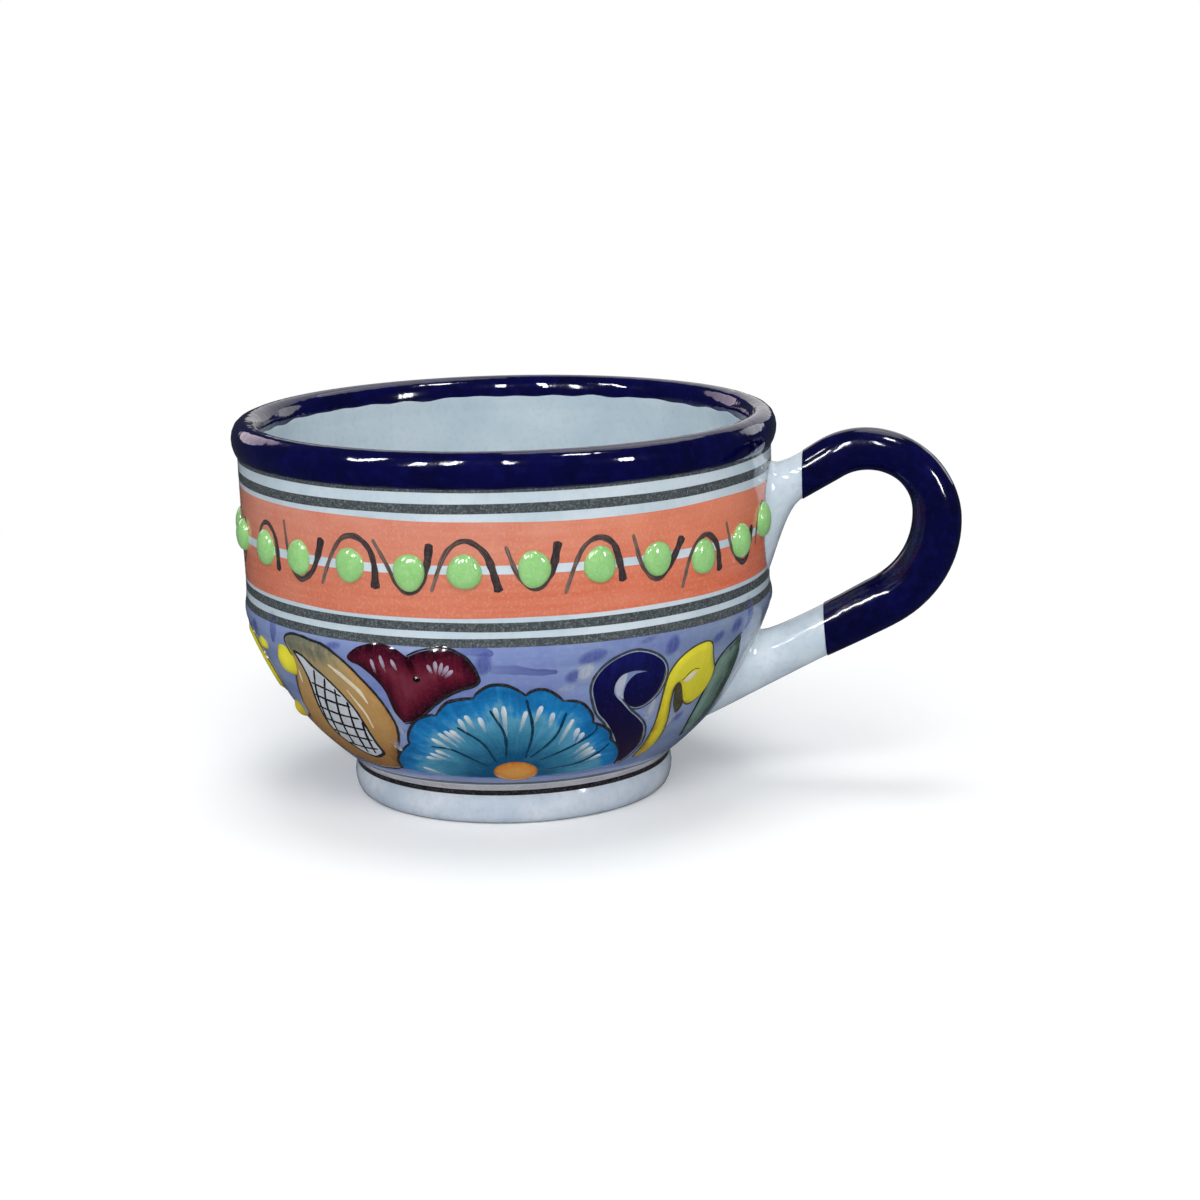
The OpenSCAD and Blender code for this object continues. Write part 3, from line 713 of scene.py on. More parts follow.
# Brush hairs: reads the tint and the lie of the hairs that every stroke and pool of paint carries
brush_hairs, hairs_in, hairs_out = socketed_group(
    "brush hairs", [("Fineness", "NodeSocketFloat")], [("Hair", "NodeSocketFloat"), ("Tint", "NodeSocketFloat")])
carried = brush_hairs.nodes.new("ShaderNodeAttribute")
carried.attribute_name = "paint"
parts = brush_hairs.nodes.new("ShaderNodeSeparateXYZ")
lie = brush_hairs.nodes.new("ShaderNodeCombineXYZ")
wire(brush_hairs, (carried.outputs["Vector"], parts.inputs[0]), (parts.outputs["Y"], lie.inputs["X"]),
     (add_times(brush_hairs, parts.outputs["Z"], 0.09), lie.inputs["Y"]))
hair = add_noise(brush_hairs, lie.outputs[0], hairs_in.outputs["Fineness"], 4)
wire(brush_hairs, (add_range(brush_hairs, hair, 0.34, 0.66), hairs_out.inputs["Hair"]),
     (parts.outputs["X"], hairs_out.inputs["Tint"]))


def add_hairs(tree, fineness):
    """Hair mask and tint of the paint in a material."""
    node = add_group(tree, brush_hairs, {"Fineness": fineness})
    return node.outputs["Hair"], node.outputs["Tint"]


def thin_wash(name, colour, pooled, speck, fade, full):
    """Thin paint that is clear where its tint is at the first fade value and fullest at the second."""
    material, tree, _ = glaze(name, colour, pooled, speck, cloud=(300, 0.5), bump=0.05)
    hair, tint = add_hairs(tree, 1.6)
    cover = add_times(tree, add_range(tree, tint, *fade), add_range(tree, hair, 0, 1, full * 0.7, full))
    wire(tree, (cover, tree.nodes["Principled BSDF"].inputs["Alpha"]))
    return material


def new_coat():
    """Empty coat of enamel, to which pads and strokes are added."""
    return {"verts": [], "faces": [], "paint": []}


def lay(coat, points, lifts, faces, paint, base):
    """Closed pad of enamel on the bowl, from its top surface down into the glaze below."""
    first, count = sum(len(v) for v in coat["verts"]), len(points)
    turn = FRONT + points[:, 0]
    coat["verts"] += [on_side(turn, points[:, 1], lifts), on_side(turn, points[:, 1], base)]
    coat["paint"] += [paint, paint]
    open_edges = {}
    for face in faces:
        for a, b in zip(face, face[1:] + face[:1]):
            if open_edges.pop((b, a), None) is None:
                open_edges[(a, b)] = True
        coat["faces"].append([first + i for i in face])
        coat["faces"].append([first + count + i for i in reversed(face)])
    for a, b in open_edges:
        coat["faces"].append([first + b, first + a, first + count + a, first + count + b])


def pool(coat, outline, middle, frieze=0, lift=0.06, puff=0.35, edge=0.9, grain=0.45, tint=None, pull=None):
    """Pool of enamel inside a sheet outline, which swells from its edge inwards."""
    rim = even(outline, grain * 0.8, closed=True)
    low, high = rim.min(0), rim.max(0)
    across, up = np.meshgrid(np.arange(low[0], high[0], grain), np.arange(low[1], high[1], grain * ROW_STEP))
    across[1::2] += grain / 2
    grid = np.column_stack([across.ravel(), up.ravel()])
    grid = grid[within(grid, rim)]
    grid = grid[from_line(grid, rim, True) > grain * 0.45]
    loop = [(i, (i + 1) % len(rim)) for i in range(len(rim))]
    flat = [Vector(point) for point in np.vstack([rim, grid])]
    verts, _, faces, _, _, _ = geometry.delaunay_2d_cdt(flat, loop, [], 1, 1e-5)
    verts = np.array([tuple(vert) for vert in verts])
    depth = from_line(verts, rim, True)
    swell = np.sin(np.minimum(depth / edge, 1) * math.pi / 2)
    on_bowl = from_sheet(verts, middle)
    hairs = verts if pull is None else pull(verts)
    tints = depth if tint is None else tint(on_bowl, depth, verts)
    paint = np.column_stack([tints, hairs + FRIEZE_SHIFT * frieze])
    on_bowl[:, 0] += FRIEZE_TURNS[frieze]
    lay(coat, on_bowl, lift + puff * swell, [list(face) for face in faces], paint, POOL_SINK)


def stroke(coat, line, middle, widths, frieze=0, lift=0.1, crown=0.06, seed=0, closed=False, spacing=0.4,
           cap=1.0):
    """Brush stroke along a sheet line, with the widths of the list and ends as round as the cap says."""
    line = even(line, spacing, closed)
    if closed:
        line = np.vstack([line, line[:1]])
    run = np.gradient(line, axis=0)
    if closed:
        run[0] = run[-1] = line[1] - line[-2]
    run /= np.maximum(np.hypot(*run.T), 1e-9)[:, None]
    side = np.column_stack([-run[:, 1], run[:, 0]])
    far = np.concatenate([[0], np.cumsum(np.hypot(*np.diff(line, axis=0).T))])
    half = np.interp(far / far[-1], np.linspace(0, 1, len(widths)), widths) / 2
    rng = random.Random(seed)
    for n in (0.5, 1.1, 2.3):
        half = half * (1 + 0.07 * np.sin(n * far + rng.uniform(0, 6.3)))
    if not closed:
        ends = np.minimum(np.minimum(far, far[-1] - far) / np.maximum(half * cap, 1e-6), 1)
        half = np.maximum(half * np.sqrt(np.maximum(1 - (1 - ends) ** 2, 0)), 0.03)
    points = np.vstack([line + side * (half * share)[:, None] for share in ACROSS_STROKE])
    lifts = np.concatenate([lift + crown * (1 - share ** 2) * np.ones(len(line)) for share in ACROSS_STROKE])
    hairs = np.concatenate([half * share for share in ACROSS_STROKE]) + STROKE_SHIFT * seed
    count, rows = len(line), len(ACROSS_STROKE)
    paint = np.column_stack([np.tile(far / far[-1], rows), hairs, np.tile(far, rows)])
    faces = [[j * count + i, j * count + i + 1, (j + 1) * count + i + 1, (j + 1) * count + i]
             for j in range(rows - 1) for i in range(count - 1)]
    on_bowl = from_sheet(points, middle)
    on_bowl[:, 0] += FRIEZE_TURNS[frieze]
    lay(coat, on_bowl, lifts, faces, paint, STROKE_SINK)


def beside(line, gap):
    """Open line moved to its left by a gap."""
    line = even(line, OUTLINE_STEP)
    run = np.gradient(line, axis=0)
    run /= np.maximum(np.hypot(*run.T), 1e-9)[:, None]
    return line + np.column_stack([-run[:, 1], run[:, 0]]) * gap


def outward(outline, gap):
    """Closed outline moved outwards by a gap."""
    line = even(outline, OUTLINE_STEP, closed=True)
    run = np.roll(line, -1, axis=0) - np.roll(line, 1, axis=0)
    run /= np.maximum(np.hypot(*run.T), 1e-9)[:, None]
    area = np.sum(line[:, 0] * np.roll(line[:, 1], -1) - line[:, 1] * np.roll(line[:, 0], -1))
    return line + np.column_stack([run[:, 1], -run[:, 0]]) * gap * np.sign(area)


def fire(name, coat, material, slot, *nodes):
    """Finish a coat as one piece of the mug."""
    mesh = bpy.data.meshes.new(name)
    mesh.from_pydata(np.vstack(coat["verts"]).tolist(), [], coat["faces"])
    carried = mesh.attributes.new("paint", "FLOAT_VECTOR", "POINT")
    carried.data.foreach_set("vector", np.vstack(coat["paint"]).ravel())
    mesh.validate()
    piece = bpy.data.objects.new(name, mesh)
    bpy.context.scene.collection.objects.link(piece)
    soften(piece, 50)
    mesh.materials.append(material)
    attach(piece, "root")
    if nodes:
        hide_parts(*nodes)


# Place, half width and half height of each dab
DABS = [(18.6, 39, 3.1, 1.6), (14.8, 35.2, 1.9, 1.7), (37.2, 38.9, 1.9, 2.3), (51, 38.2, 1.9, 1.5),
        (57.5, 39.4, 2.2, 1.7), (-3.6, 38.6, 1.8, 2.6), (47.5, 21.5, 1.5, 1.4), (-37, 40.4, 2.2, 0.9),
        (31, 41, 2, 0.6)]
# Longer pulls of the same brush, with their widths
PULLS = [([(-2.5, 37.4), (3.2, 37.2), (7, 36.6), (11.5, 36.4)], [2.0, 1.9, 1.7, 0.9]),
         ([(-57.8, 44.4), (-57.2, 41.2), (-58.8, 37.6)], [1.6, 2.4, 2.2, 1.0]),
         ([(-9, 41), (-4, 41.2), (-1.4, 40.6)], [1.0, 2.0, 1.2])]
# Pale strips, partly where the brush missed the white and partly painted highlight beside the motifs' edges,
# with their widths and their lift
PALE_STRIPS = [([(-27, 30.8), (-25.9, 27), (-25.7, 23.8), (-25.6, 21.4)], [0.4, 0.9, 1.0, 0.7], 0.08),
               ([(-29.8, 21), (-28.6, 19.2), (-28, 18)], [0.9, 1.4, 0.9], 0.55)]
# Pale places beside the motifs, partly where the wash was wiped thin and partly painted highlight along their
# raised edges, as middle, half width and half height
WIPES_AND_HIGHLIGHTS = [(17.4, 35.8, 2.5, 2.6), (13.6, 32.6, 2.2, 1.1), (29.5, 23, 1.6, 3.4), (36.2, 25.6, 1.8, 3.6),
         (-25.6, 27.6, 0.8, 2.6), (44.5, 20.6, 1.6, 3.2), (-4.5, 33, 1.6, 0.9)]
# How much a dab or wipe leans up to its right
DAB_LEAN = 0.2
dabs, wipes_and_highlights = new_coat(), new_coat()
for frieze in FRIEZES:
    for coat_of, ovals in ((dabs, DABS), (wipes_and_highlights, WIPES_AND_HIGHLIGHTS)):
        for degrees, height, wide, tall in ovals:
            dab = oval(wide, tall, 24)
            dab[:, 1] += DAB_LEAN * dab[:, 0]
            pool(coat_of, to_sheet([(degrees, height)], degrees) + dab, degrees, frieze, lift=0.04, puff=0.03,
                 edge=0.6, grain=0.5)
    for k, (strip, widths, lift) in enumerate(PALE_STRIPS):
        stroke(wipes_and_highlights, curve(to_sheet(strip, 0)), 0, widths, frieze, lift=lift, crown=0.03, seed=620 + k)
    for k, (pulled, widths) in enumerate(PULLS):
        stroke(dabs, curve(to_sheet(pulled, 0)), 0, widths, frieze, lift=0.05, crown=0.02, seed=600 + k)
dab_paint = thin_wash("blue dabs", srgb(90, 102, 175), srgb(72, 84, 162), srgb(130, 140, 196), (-0.2, 0.9), 0.68)
fire("blue_dabs", dabs, dab_paint, "lavender_ground")
wipe_and_highlight_paint = thin_wash("wiped wash and painted highlight", srgb(196, 204, 216), srgb(176, 186, 206), srgb(216, 220, 226), (0, 1.3), 0.7)
fire("wiped_and_highlight_patches", wipes_and_highlights, wipe_and_highlight_paint, "lavender_ground")
# Thin slip wiped out over the wall round the handle's joints, as middle, half width and half height
SMEARS = [(80, 27.5, 13.5, 13.5), (82.5, 58, 9.5, 14)]
smears = new_coat()
for degrees, height, wide, tall in SMEARS:
    pool(smears, to_sheet([(degrees, height)], degrees) + oval(wide, tall, 40), degrees, lift=0.07, puff=0.03,
         edge=1.0, grain=0.6)
smear_paint = thin_wash("wiped slip", srgb(206, 216, 224), srgb(184, 198, 208), srgb(224, 230, 234), (0, 4), 0.95)
fire("slip_smears", smears, smear_paint, "slip")

# Foot lines
# A dark grey line and a black one drawn round the neck of the foot on the wheel, with a pale strip between
# them. They finish the frieze and hide the seam between the bowl and its foot.
NECK_LINE = (9.0, 9.6)
PALE_LINE = (7.55, 8.75)
neck_line = glaze_band("neck_line", *NECK_LINE, lambda turn: NECK_LINE[0] + waver(turn, 91, 0.05),
                       lambda turn: NECK_LINE[1] + waver(turn, 92, 0.05), 4)
pale_line = glaze_band("pale_neck_line", *PALE_LINE, lambda turn: PALE_LINE[0] + waver(turn, 93, 0.03),
                       lambda turn: PALE_LINE[1] + waver(turn, 94, 0.04), 5)
BLACK_LINE = [(32.98, 6.3), (33, 6.55), (32.95, 6.9), (32.95, 7.2), (33.08, 7.35), (32.8, 7.5), (32.45, 7.1),
              (32.45, 6.3)]
black_line = throw("black_line", BLACK_LINE, closed=True)
soften(black_line, 60)
foot_lines = fused("foot_line_rings", [black_line, neck_line])
line_paint, _, _ = glaze("dark foot line", srgb(42, 38, 40), srgb(22, 18, 20), srgb(96, 92, 98), cloud=(700, 0.7),
                         grain=(2200, 0.45))
foot_lines.data.materials.append(line_paint)
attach(foot_lines, "root")
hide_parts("foot_lines")
pale_paint, _, _ = glaze("pale neck glaze", srgb(196, 190, 192), srgb(168, 162, 170), srgb(120, 112, 118),
                         cloud=(300, 0.6))
pale_line.data.materials.append(pale_paint)
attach(pale_line, "root")

# Green beads
# Drops of thick green enamel trailed on the white line, which stand up as domes after firing. One is modelled
# and copied, and each copy is turned and stretched as the drop fell.
BEAD_WIDE, BEAD_TALL, BEAD_HIGH = 6.6, 7.0, 1.65
BEAD_COUNT = 27
# Middle height of the back drops, and how the dome fills out and its root is stretched into the glaze
BACK_HEIGHT = 56.7
DOME_FULLNESS, ROOT_STRETCH = 0.9, 8
# The first drop of the back and the step from one to the next, in degrees
BACK_START, BACK_STEP = -90.0, -12.45
# Degrees and heights of the front drops, from the first one past the handle round to the left side
FRONT_BEADS = [(72, 58.3), (59.3, 56.2), (45.9, 55.2), (33.5, 56.6), (20.5, 56.8), (7.1, 56.8), (-6.8, 56.5),
               (-18.2, 56.2), (-31.7, 56.8), (-46, 56.8), (-58.6, 57), (-74, 57.3)]

bpy.ops.object.select_all(action="DESELECT")
bpy.ops.mesh.primitive_uv_sphere_add(segments=36, ring_count=24, radius=1)
drop = bpy.context.object
bpy.ops.object.mode_set(mode="EDIT")
bpy.ops.mesh.select_all(action="SELECT")
bpy.ops.mesh.bisect(plane_co=(0, 0, -0.02), plane_no=(0, 0, 1), clear_inner=True, use_fill=True)
bpy.ops.object.mode_set(mode="OBJECT")
for vert in drop.data.vertices:
    flat = math.hypot(vert.co.x, vert.co.y)
    vert.co.z = vert.co.z ** DOME_FULLNESS if vert.co.z > 0 else vert.co.z * ROOT_STRETCH
    vert.co.x *= 1 + 0.06 * max(0, 1 - flat)
beads = []
drops = random.Random(5)
for i in range(BEAD_COUNT):
    degrees = FRONT + BACK_START + BACK_STEP * (i - len(FRONT_BEADS))
    height = BACK_HEIGHT + drops.uniform(-0.8, 0.8)
    if i < len(FRONT_BEADS):
        degrees, height = FRONT + FRONT_BEADS[i][0], FRONT_BEADS[i][1]
    bead = drop.copy()
    bead.data = drop.data.copy()
    bpy.context.scene.collection.objects.link(bead)
    wide = BEAD_WIDE / 2 * drops.uniform(0.95, 1.04)
    tall = BEAD_TALL / 2 * drops.uniform(0.94, 1.05)
    high = BEAD_HIGH * drops.uniform(0.88, 1.1)
    tip = drops.uniform(0, 6.3)
    turn = math.radians(degrees)
    on_wall = Matrix(((-math.sin(turn), 0, math.cos(turn)), (math.cos(turn), 0, math.sin(turn)), (0, 1, 0)))
    middle = Vector(on_side(degrees, height, 0))
    for vert in bead.data.vertices:
        lump = 1 + 0.03 * math.sin(3 * math.atan2(vert.co.y, vert.co.x) + tip)
        x, y = vert.co.x * wide * lump, vert.co.y * tall * lump
        sag = side_radius(height) - math.sqrt(side_radius(height) ** 2 - x * x)
        vert.co = middle + on_wall @ Vector((x, y, vert.co.z * high - sag)) * MM
    beads.append(bead)
bpy.data.objects.remove(drop)
green_beads = fused("green_bead_drops", beads)
soften(green_beads, 60)
bead_enamel, _, _ = glaze("green bead enamel", srgb(152, 206, 132), srgb(134, 194, 112), srgb(186, 222, 164),
                          cloud=(500, 0.6), grain=(1600, 0.3), bump=0.05)
green_beads.data.materials.append(bead_enamel)
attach(green_beads, "root")
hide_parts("green_beads")

# Brushed arcs
# Quick dark strokes that hop over one drop and under the next all the way round. Each is one flick of a
# liner brush: thin where it lands, and thick and blunt where it stops.
# Strokes of the front as degrees and heights, from the one nearest the handle round to the left side
FRONT_STROKES = [
    [(67, 54), (69, 59.5), (72, 61.6), (74.5, 59)],
    [(53.5, 61), (56, 55), (60, 51.8), (63, 53), (65, 58.5)],
    [(39.8, 49.8), (42.5, 56.5), (46.5, 59.5), (50.3, 57), (51.3, 51.5)],
    [(27.8, 62), (30, 55.5), (33.5, 52.6), (37, 55.5), (40, 60.2)],
    [(13.2, 51.6), (15.5, 57.5), (17.5, 60.8), (20.5, 62.1), (23.5, 60.5), (25, 56), (25.5, 53)],
    [(1.5, 61.5), (4, 55.5), (7.5, 53), (10.5, 56), (12, 62)],
    [(-13.7, 52.5), (-10.5, 60), (-6.5, 62.5), (-2.5, 60), (-0.5, 54.5), (0, 52.5)],
    [(-26, 62.3), (-23.3, 58), (-21, 54), (-18.5, 52.2), (-15.7, 54), (-14.3, 58), (-13.7, 62)],
    [(-39.3, 52.3), (-36.5, 58), (-33.5, 61.8), (-30, 62.5), (-27, 60.5), (-25.8, 57), (-25.8, 52.5)],
    [(-50.5, 63.8), (-49.5, 57), (-48, 54), (-45.5, 52.5), (-42, 54.5), (-40, 58), (-38.8, 61.5)],
    [(-64, 54.5), (-61, 60.5), (-57.5, 62.2), (-54.5, 60), (-53.7, 56), (-53.5, 53)]]
# One stroke over a drop for the rest of the round, from the drop's middle
HOP = [(-5.8, -5.0), (-3.6, 2.2), (0, 5.3), (3.6, 2.4), (5.2, -4.6)]
HOP_HEIGHT = 56.8
FLICK = [0.7, 0.9, 1.05, 1.3, 1.75]
arcs = new_coat()
flicks = random.Random(9)
for i in range(BEAD_COUNT):
    if i < len(FRONT_STROKES):
        points = np.array(FRONT_STROKES[i], float)
    else:
        over = 1 if i % 2 == 0 else -1
        points = np.array(HOP) * (flicks.uniform(0.94, 1.05), over * flicks.uniform(0.94, 1.06))
        points += (BACK_START + BACK_STEP * (i - len(FRONT_BEADS)), HOP_HEIGHT + flicks.uniform(-0.4, 0.4))
    middle = points[:, 0].mean()
    stroke(arcs, curve(to_sheet(points, middle)), middle, FLICK, lift=0.06, crown=0.05, seed=100 + i, spacing=0.3,
           cap=0.4)
liner_paint, _, _ = glaze("dark liner paint", srgb(40, 42, 44), srgb(24, 24, 28), srgb(84, 84, 86),
                          cloud=(800, 0.7), grain=(2400, 0.4))


def painted(name, stops, reach, speck, wander=0.1, hairs=(2.2, 0.25), deep=0.8, grain=0.15):
    """Enamel whose colour runs through the stops as its tint goes over the reach, streaked by the brush."""
    material, tree, coat = glaze(name, stops[0][1], stops[-1][1], speck, cloud=(260, 0.3), grain=(1500, grain),
                                 bump=0.1)
    hair, tint = add_hairs(tree, hairs[0])
    drift = add_range(tree, add_noise(tree, add_place(tree), 300.0, 3), 0.3, 0.7, -wander, wander)
    share = add_plus(tree, add_range(tree, tint, *reach), drift)
    share = add_plus(tree, share, add_range(tree, hair, 0, 1, -hairs[1], hairs[1]))
    ramp = tree.nodes.new("ShaderNodeValToRGB")
    ramp.color_ramp.elements[0].position, ramp.color_ramp.elements[0].color = stops[0]
    ramp.color_ramp.elements[1].position, ramp.color_ramp.elements[1].color = stops[-1]
    for position, colour in stops[1:-1]:
        ramp.color_ramp.elements.new(position).color = colour
    dim = tree.nodes.new("ShaderNodeHueSaturation")
    dim.inputs["Value"].default_value = deep
    wire(tree, (share, ramp.inputs["Fac"]), (ramp.outputs["Color"], coat.inputs["Colour"]),
         (ramp.outputs["Color"], dim.inputs["Color"]), (dim.outputs["Color"], coat.inputs["Pooled"]))
    return material


arc_paint = painted("brushed arc paint",
                    [(0.0, srgb(126, 104, 95)), (0.35, srgb(90, 74, 71)), (0.7, srgb(68, 58, 59)),
                     (1.0, srgb(54, 47, 50))], (0, 1), srgb(130, 108, 100), hairs=(4.0, 0.3))
fire("brushed_arc_strokes", arcs, arc_paint, "brushed_arcs", "brushed_arcs")

# Flower petals
# Half a daisy at the foot of each frieze: one pool of blue enamel with scalloped petals, bright at the tips
# and teal towards the eye. Dark lines part the petals and white flicks are pulled down from the tips.
FLOWER_MIDDLE = 0.0
# The scalloped edge, one stretch for each petal, from the left foot over the top to the right foot
SCALLOPS = [
    [(-33, 12.2), (-32.3, 14.5), (-29.1, 17.1), (-26.4, 18.8), (-24.8, 19.7)],
    [(-24.8, 19.7), (-24.3, 21.4), (-22.7, 23.7), (-20, 25.9), (-16.8, 27), (-15.4, 27)],
    [(-15.4, 27), (-14.5, 28.1), (-12.3, 30), (-9.5, 30.8), (-6.4, 31.2), (-6, 31.5)],
    [(-6, 31.5), (-5.5, 32.2), (-3.2, 33.7), (-1.1, 34.1), (1.4, 33.7), (3.6, 32.5), (4.9, 31.5)],
    [(4.9, 31.5), (6.1, 32.4), (8, 32.8), (10, 32.2), (11.8, 31), (13.2, 29.8)],
    [(13.2, 29.8), (15, 29.7), (17.3, 29), (19.3, 27.3), (20.5, 25.5), (20.9, 24.1)],
    [(20.9, 24.1), (22.3, 23.6), (24.5, 22.6), (26.4, 21), (27, 19.2)],
    [(27, 19.2), (28.6, 18.5), (30.9, 16.7), (32.7, 14.4), (33.2, 12.2)]]
FLOWER_FOOT = [(33.2, 12.2), (20, 11.5), (0, 11.2), (-20, 11.5), (-33, 12.2)]
# Lines between petals, from near the eye to the notch in the edge
PARTINGS = [
    [(-5, 15), (-13, 19), (-19, 19.8)], [(-2.5, 16), (-5.5, 21), (-11, 24.8)], [(0, 17), (0, 23), (-3, 28.8)],
    [(5, 17), (6.5, 24), (5, 31)], [(6, 17), (12, 22), (14, 27.5)],
    [(8.5, 16.2), (16, 19), (21.5, 22), (22, 23.6)], [(10, 13.5), (20, 14.7), (25, 17), (27, 18.9)]]
# White flicks, from the thick end at a tip to the thin end
FLICKS = [
    (-18.1, 18.9, -15.9, 18), (-20, 18, -17.5, 17.1), (-21.6, 16.9, -19.3, 16.6), (-24.6, 13.9, -21.4, 13),
    (-18, 21.8, -15.7, 20.4), (-15.9, 23.2, -13.6, 21.4), (-14.3, 23.8, -12.3, 22.2), (-12.8, 24, -11.1, 22.6),
    (-10.2, 26.8, -9.5, 25.1), (-8.6, 27.6, -7.7, 25.9), (-5.5, 27.2, -4.9, 25.3), (-1.9, 29.4, -1.5, 27.4),
    (0, 29.7, 0.2, 25.9), (5, 28.4, 4.2, 25.7), (8.4, 29.4, 7.5, 27.1), (11, 27.7, 10.7, 25.8),
    (15.8, 25.8, 14.3, 22.6), (17.4, 23.6, 17, 21.9), (18.9, 22.4, 18.2, 21), (21.1, 19.7, 19.1, 18.3),
    (22.5, 18.5, 20.2, 17.1), (23.6, 17.6, 20.9, 16.4), (25.9, 16.2, 23.6, 15.4)]
# How many times its drawn length a flick is pulled out past its thin end
FLICK_PULL = 1.2
# Place, half width and half height of the eye
EYE = (2.4, 13.45, 4.4, 3.8)
petals, motif_lines, petal_lines, flower_whites = new_coat(), new_coat(), new_coat(), new_coat()
for frieze in FRIEZES:
    crown = np.vstack([sheet_line(scallop, frieze, FLOWER_MIDDLE)[:-1] for scallop in SCALLOPS])
    base = to_sheet(hand(FLOWER_FOOT, frieze), FLOWER_MIDDLE)
    eye = to_sheet([EYE[:2]], FLOWER_MIDDLE)[0]

    def from_tip(on_bowl, depth, verts, crown=crown):
        """How far in from the scalloped edge."""
        return from_line(verts, even(crown, 0.8), False)

    def from_eye(verts, eye=eye):
        """Round the eye and away from it, which is how the petals are brushed."""
        away = verts - eye
        return np.column_stack([14 * np.arctan2(away[:, 1], away[:, 0]), np.hypot(*away.T)])

    pool(petals, np.vstack([crown, base[:-1]]), FLOWER_MIDDLE, frieze, lift=0.1, puff=0.32, edge=0.8,
         tint=from_tip, pull=from_eye)
    for k, scallop in enumerate(SCALLOPS):
        edge = sheet_line(scallop, frieze, FLOWER_MIDDLE)
        stroke(motif_lines, beside(edge, 0.1), FLOWER_MIDDLE, [0.4, 0.6, 0.75, 0.65, 0.4], frieze, lift=0.2,
               crown=0.1, seed=200 + k)
    for k, parting in enumerate(PARTINGS):
        stroke(petal_lines, sheet_line(parting, frieze, FLOWER_MIDDLE), FLOWER_MIDDLE, [0.35, 0.55, 0.6, 0.5],
               frieze, lift=0.42, crown=0.03, seed=220 + k)
    for k, flick in enumerate(FLICKS):
        thick, thin = np.array(flick[:2]), np.array(flick[2:])
        pulled = [thick, thin, thin * (1 + FLICK_PULL) - thick * FLICK_PULL]
        stroke(flower_whites, to_sheet(hand(pulled, frieze), FLOWER_MIDDLE), FLOWER_MIDDLE,
               [0.7, 1.0, 0.9, 0.65, 0.4, 0.15], frieze, lift=0.42, crown=0.05, seed=240 + k, spacing=0.3)
petal_enamel = painted("shaded blue enamel",
                       [(0.0, srgb(16, 98, 156)), (0.2, srgb(28, 124, 186)), (0.34, srgb(88, 156, 186)),
                        (0.6, srgb(58, 128, 159)), (1.0, srgb(15, 82, 122))],
                       (0, 17), srgb(120, 180, 205), hairs=(1.3, 0.06), grain=0.05)
fire("flower_petal_pools", petals, petal_enamel, "flower_petals", "flower_petals")
parting_paint, _, _ = glaze("petal line paint", srgb(16, 58, 82), srgb(8, 36, 56), srgb(50, 100, 128),
                            cloud=(700, 0.6))
fire("petal_lines", petal_lines, parting_paint, "flower_petals")
white_flick = thin_wash("white flick enamel", srgb(228, 236, 236), srgb(206, 222, 226), srgb(170, 196, 206),
                        (0.92, 0.12), 0.95)

# Flower eyes
# An orange drop of enamel at the heart of each half daisy, laid last over the feet of the petals.
# It is a flat oval cut off by the line at the foot of the frieze.
eyes = new_coat()
for frieze in FRIEZES:
    middle = to_sheet(hand([EYE[:2]], frieze), FLOWER_MIDDLE)
    pool(eyes, middle + oval(*EYE[2:], 40), FLOWER_MIDDLE, frieze, lift=0.4, puff=0.25, edge=1.2, grain=0.4)
eye_enamel = painted("orange eye enamel",
                     [(0.0, srgb(170, 92, 36)), (0.35, srgb(214, 138, 58)), (1.0, srgb(226, 160, 80))],
                     (0, 2.4), srgb(240, 190, 120), hairs=(1.0, 0.12))
fire("flower_eye_drops", eyes, eye_enamel, "flower_eyes", "flower_eyes")

# Hearts
# A maroon heart leans on the left of each flower, trailed in thick enamel. Its edges are almost black, its
# middle lets the rose colour through, and pale dabs are flicked across its two lobes.
HEART_MIDDLE = -19.0
HEART_LEFT = [(-24.1, 24.7), (-25.6, 27.3), (-26.3, 31.8), (-28.2, 34.7), (-30.9, 36.9), (-33, 37.6), (-33.4, 38.8),
              (-30.5, 40.9), (-25.9, 42.0), (-22, 41.3), (-19.3, 39.7)]
HEART_RIGHT = [(-19.3, 39.7), (-16, 41), (-11.4, 41.6), (-7.2, 39.7), (-5.3, 36.5), (-5.6, 34.4), (-10.5, 32.7),
               (-15, 29.9), (-18.2, 27.3), (-20.5, 25.7), (-24.1, 24.7)]
HEART_DABS = [(-27.2, 39.0, -26.9, 35.8), (-25.0, 39.9, -24.4, 36.2), (-22.6, 39.3, -21.7, 36.8),
              (-14.9, 38.7, -14.1, 36.5), (-13.2, 39.4, -13.4, 36.5), (-11.8, 39.2, -12.8, 36.3),
              (-10.6, 38.6, -12.4, 36.1), (-9.8, 37.7, -11.8, 35.8)]
HEART_CREASE = [(-19.2, 39.9), (-18.6, 38), (-17.9, 36)]
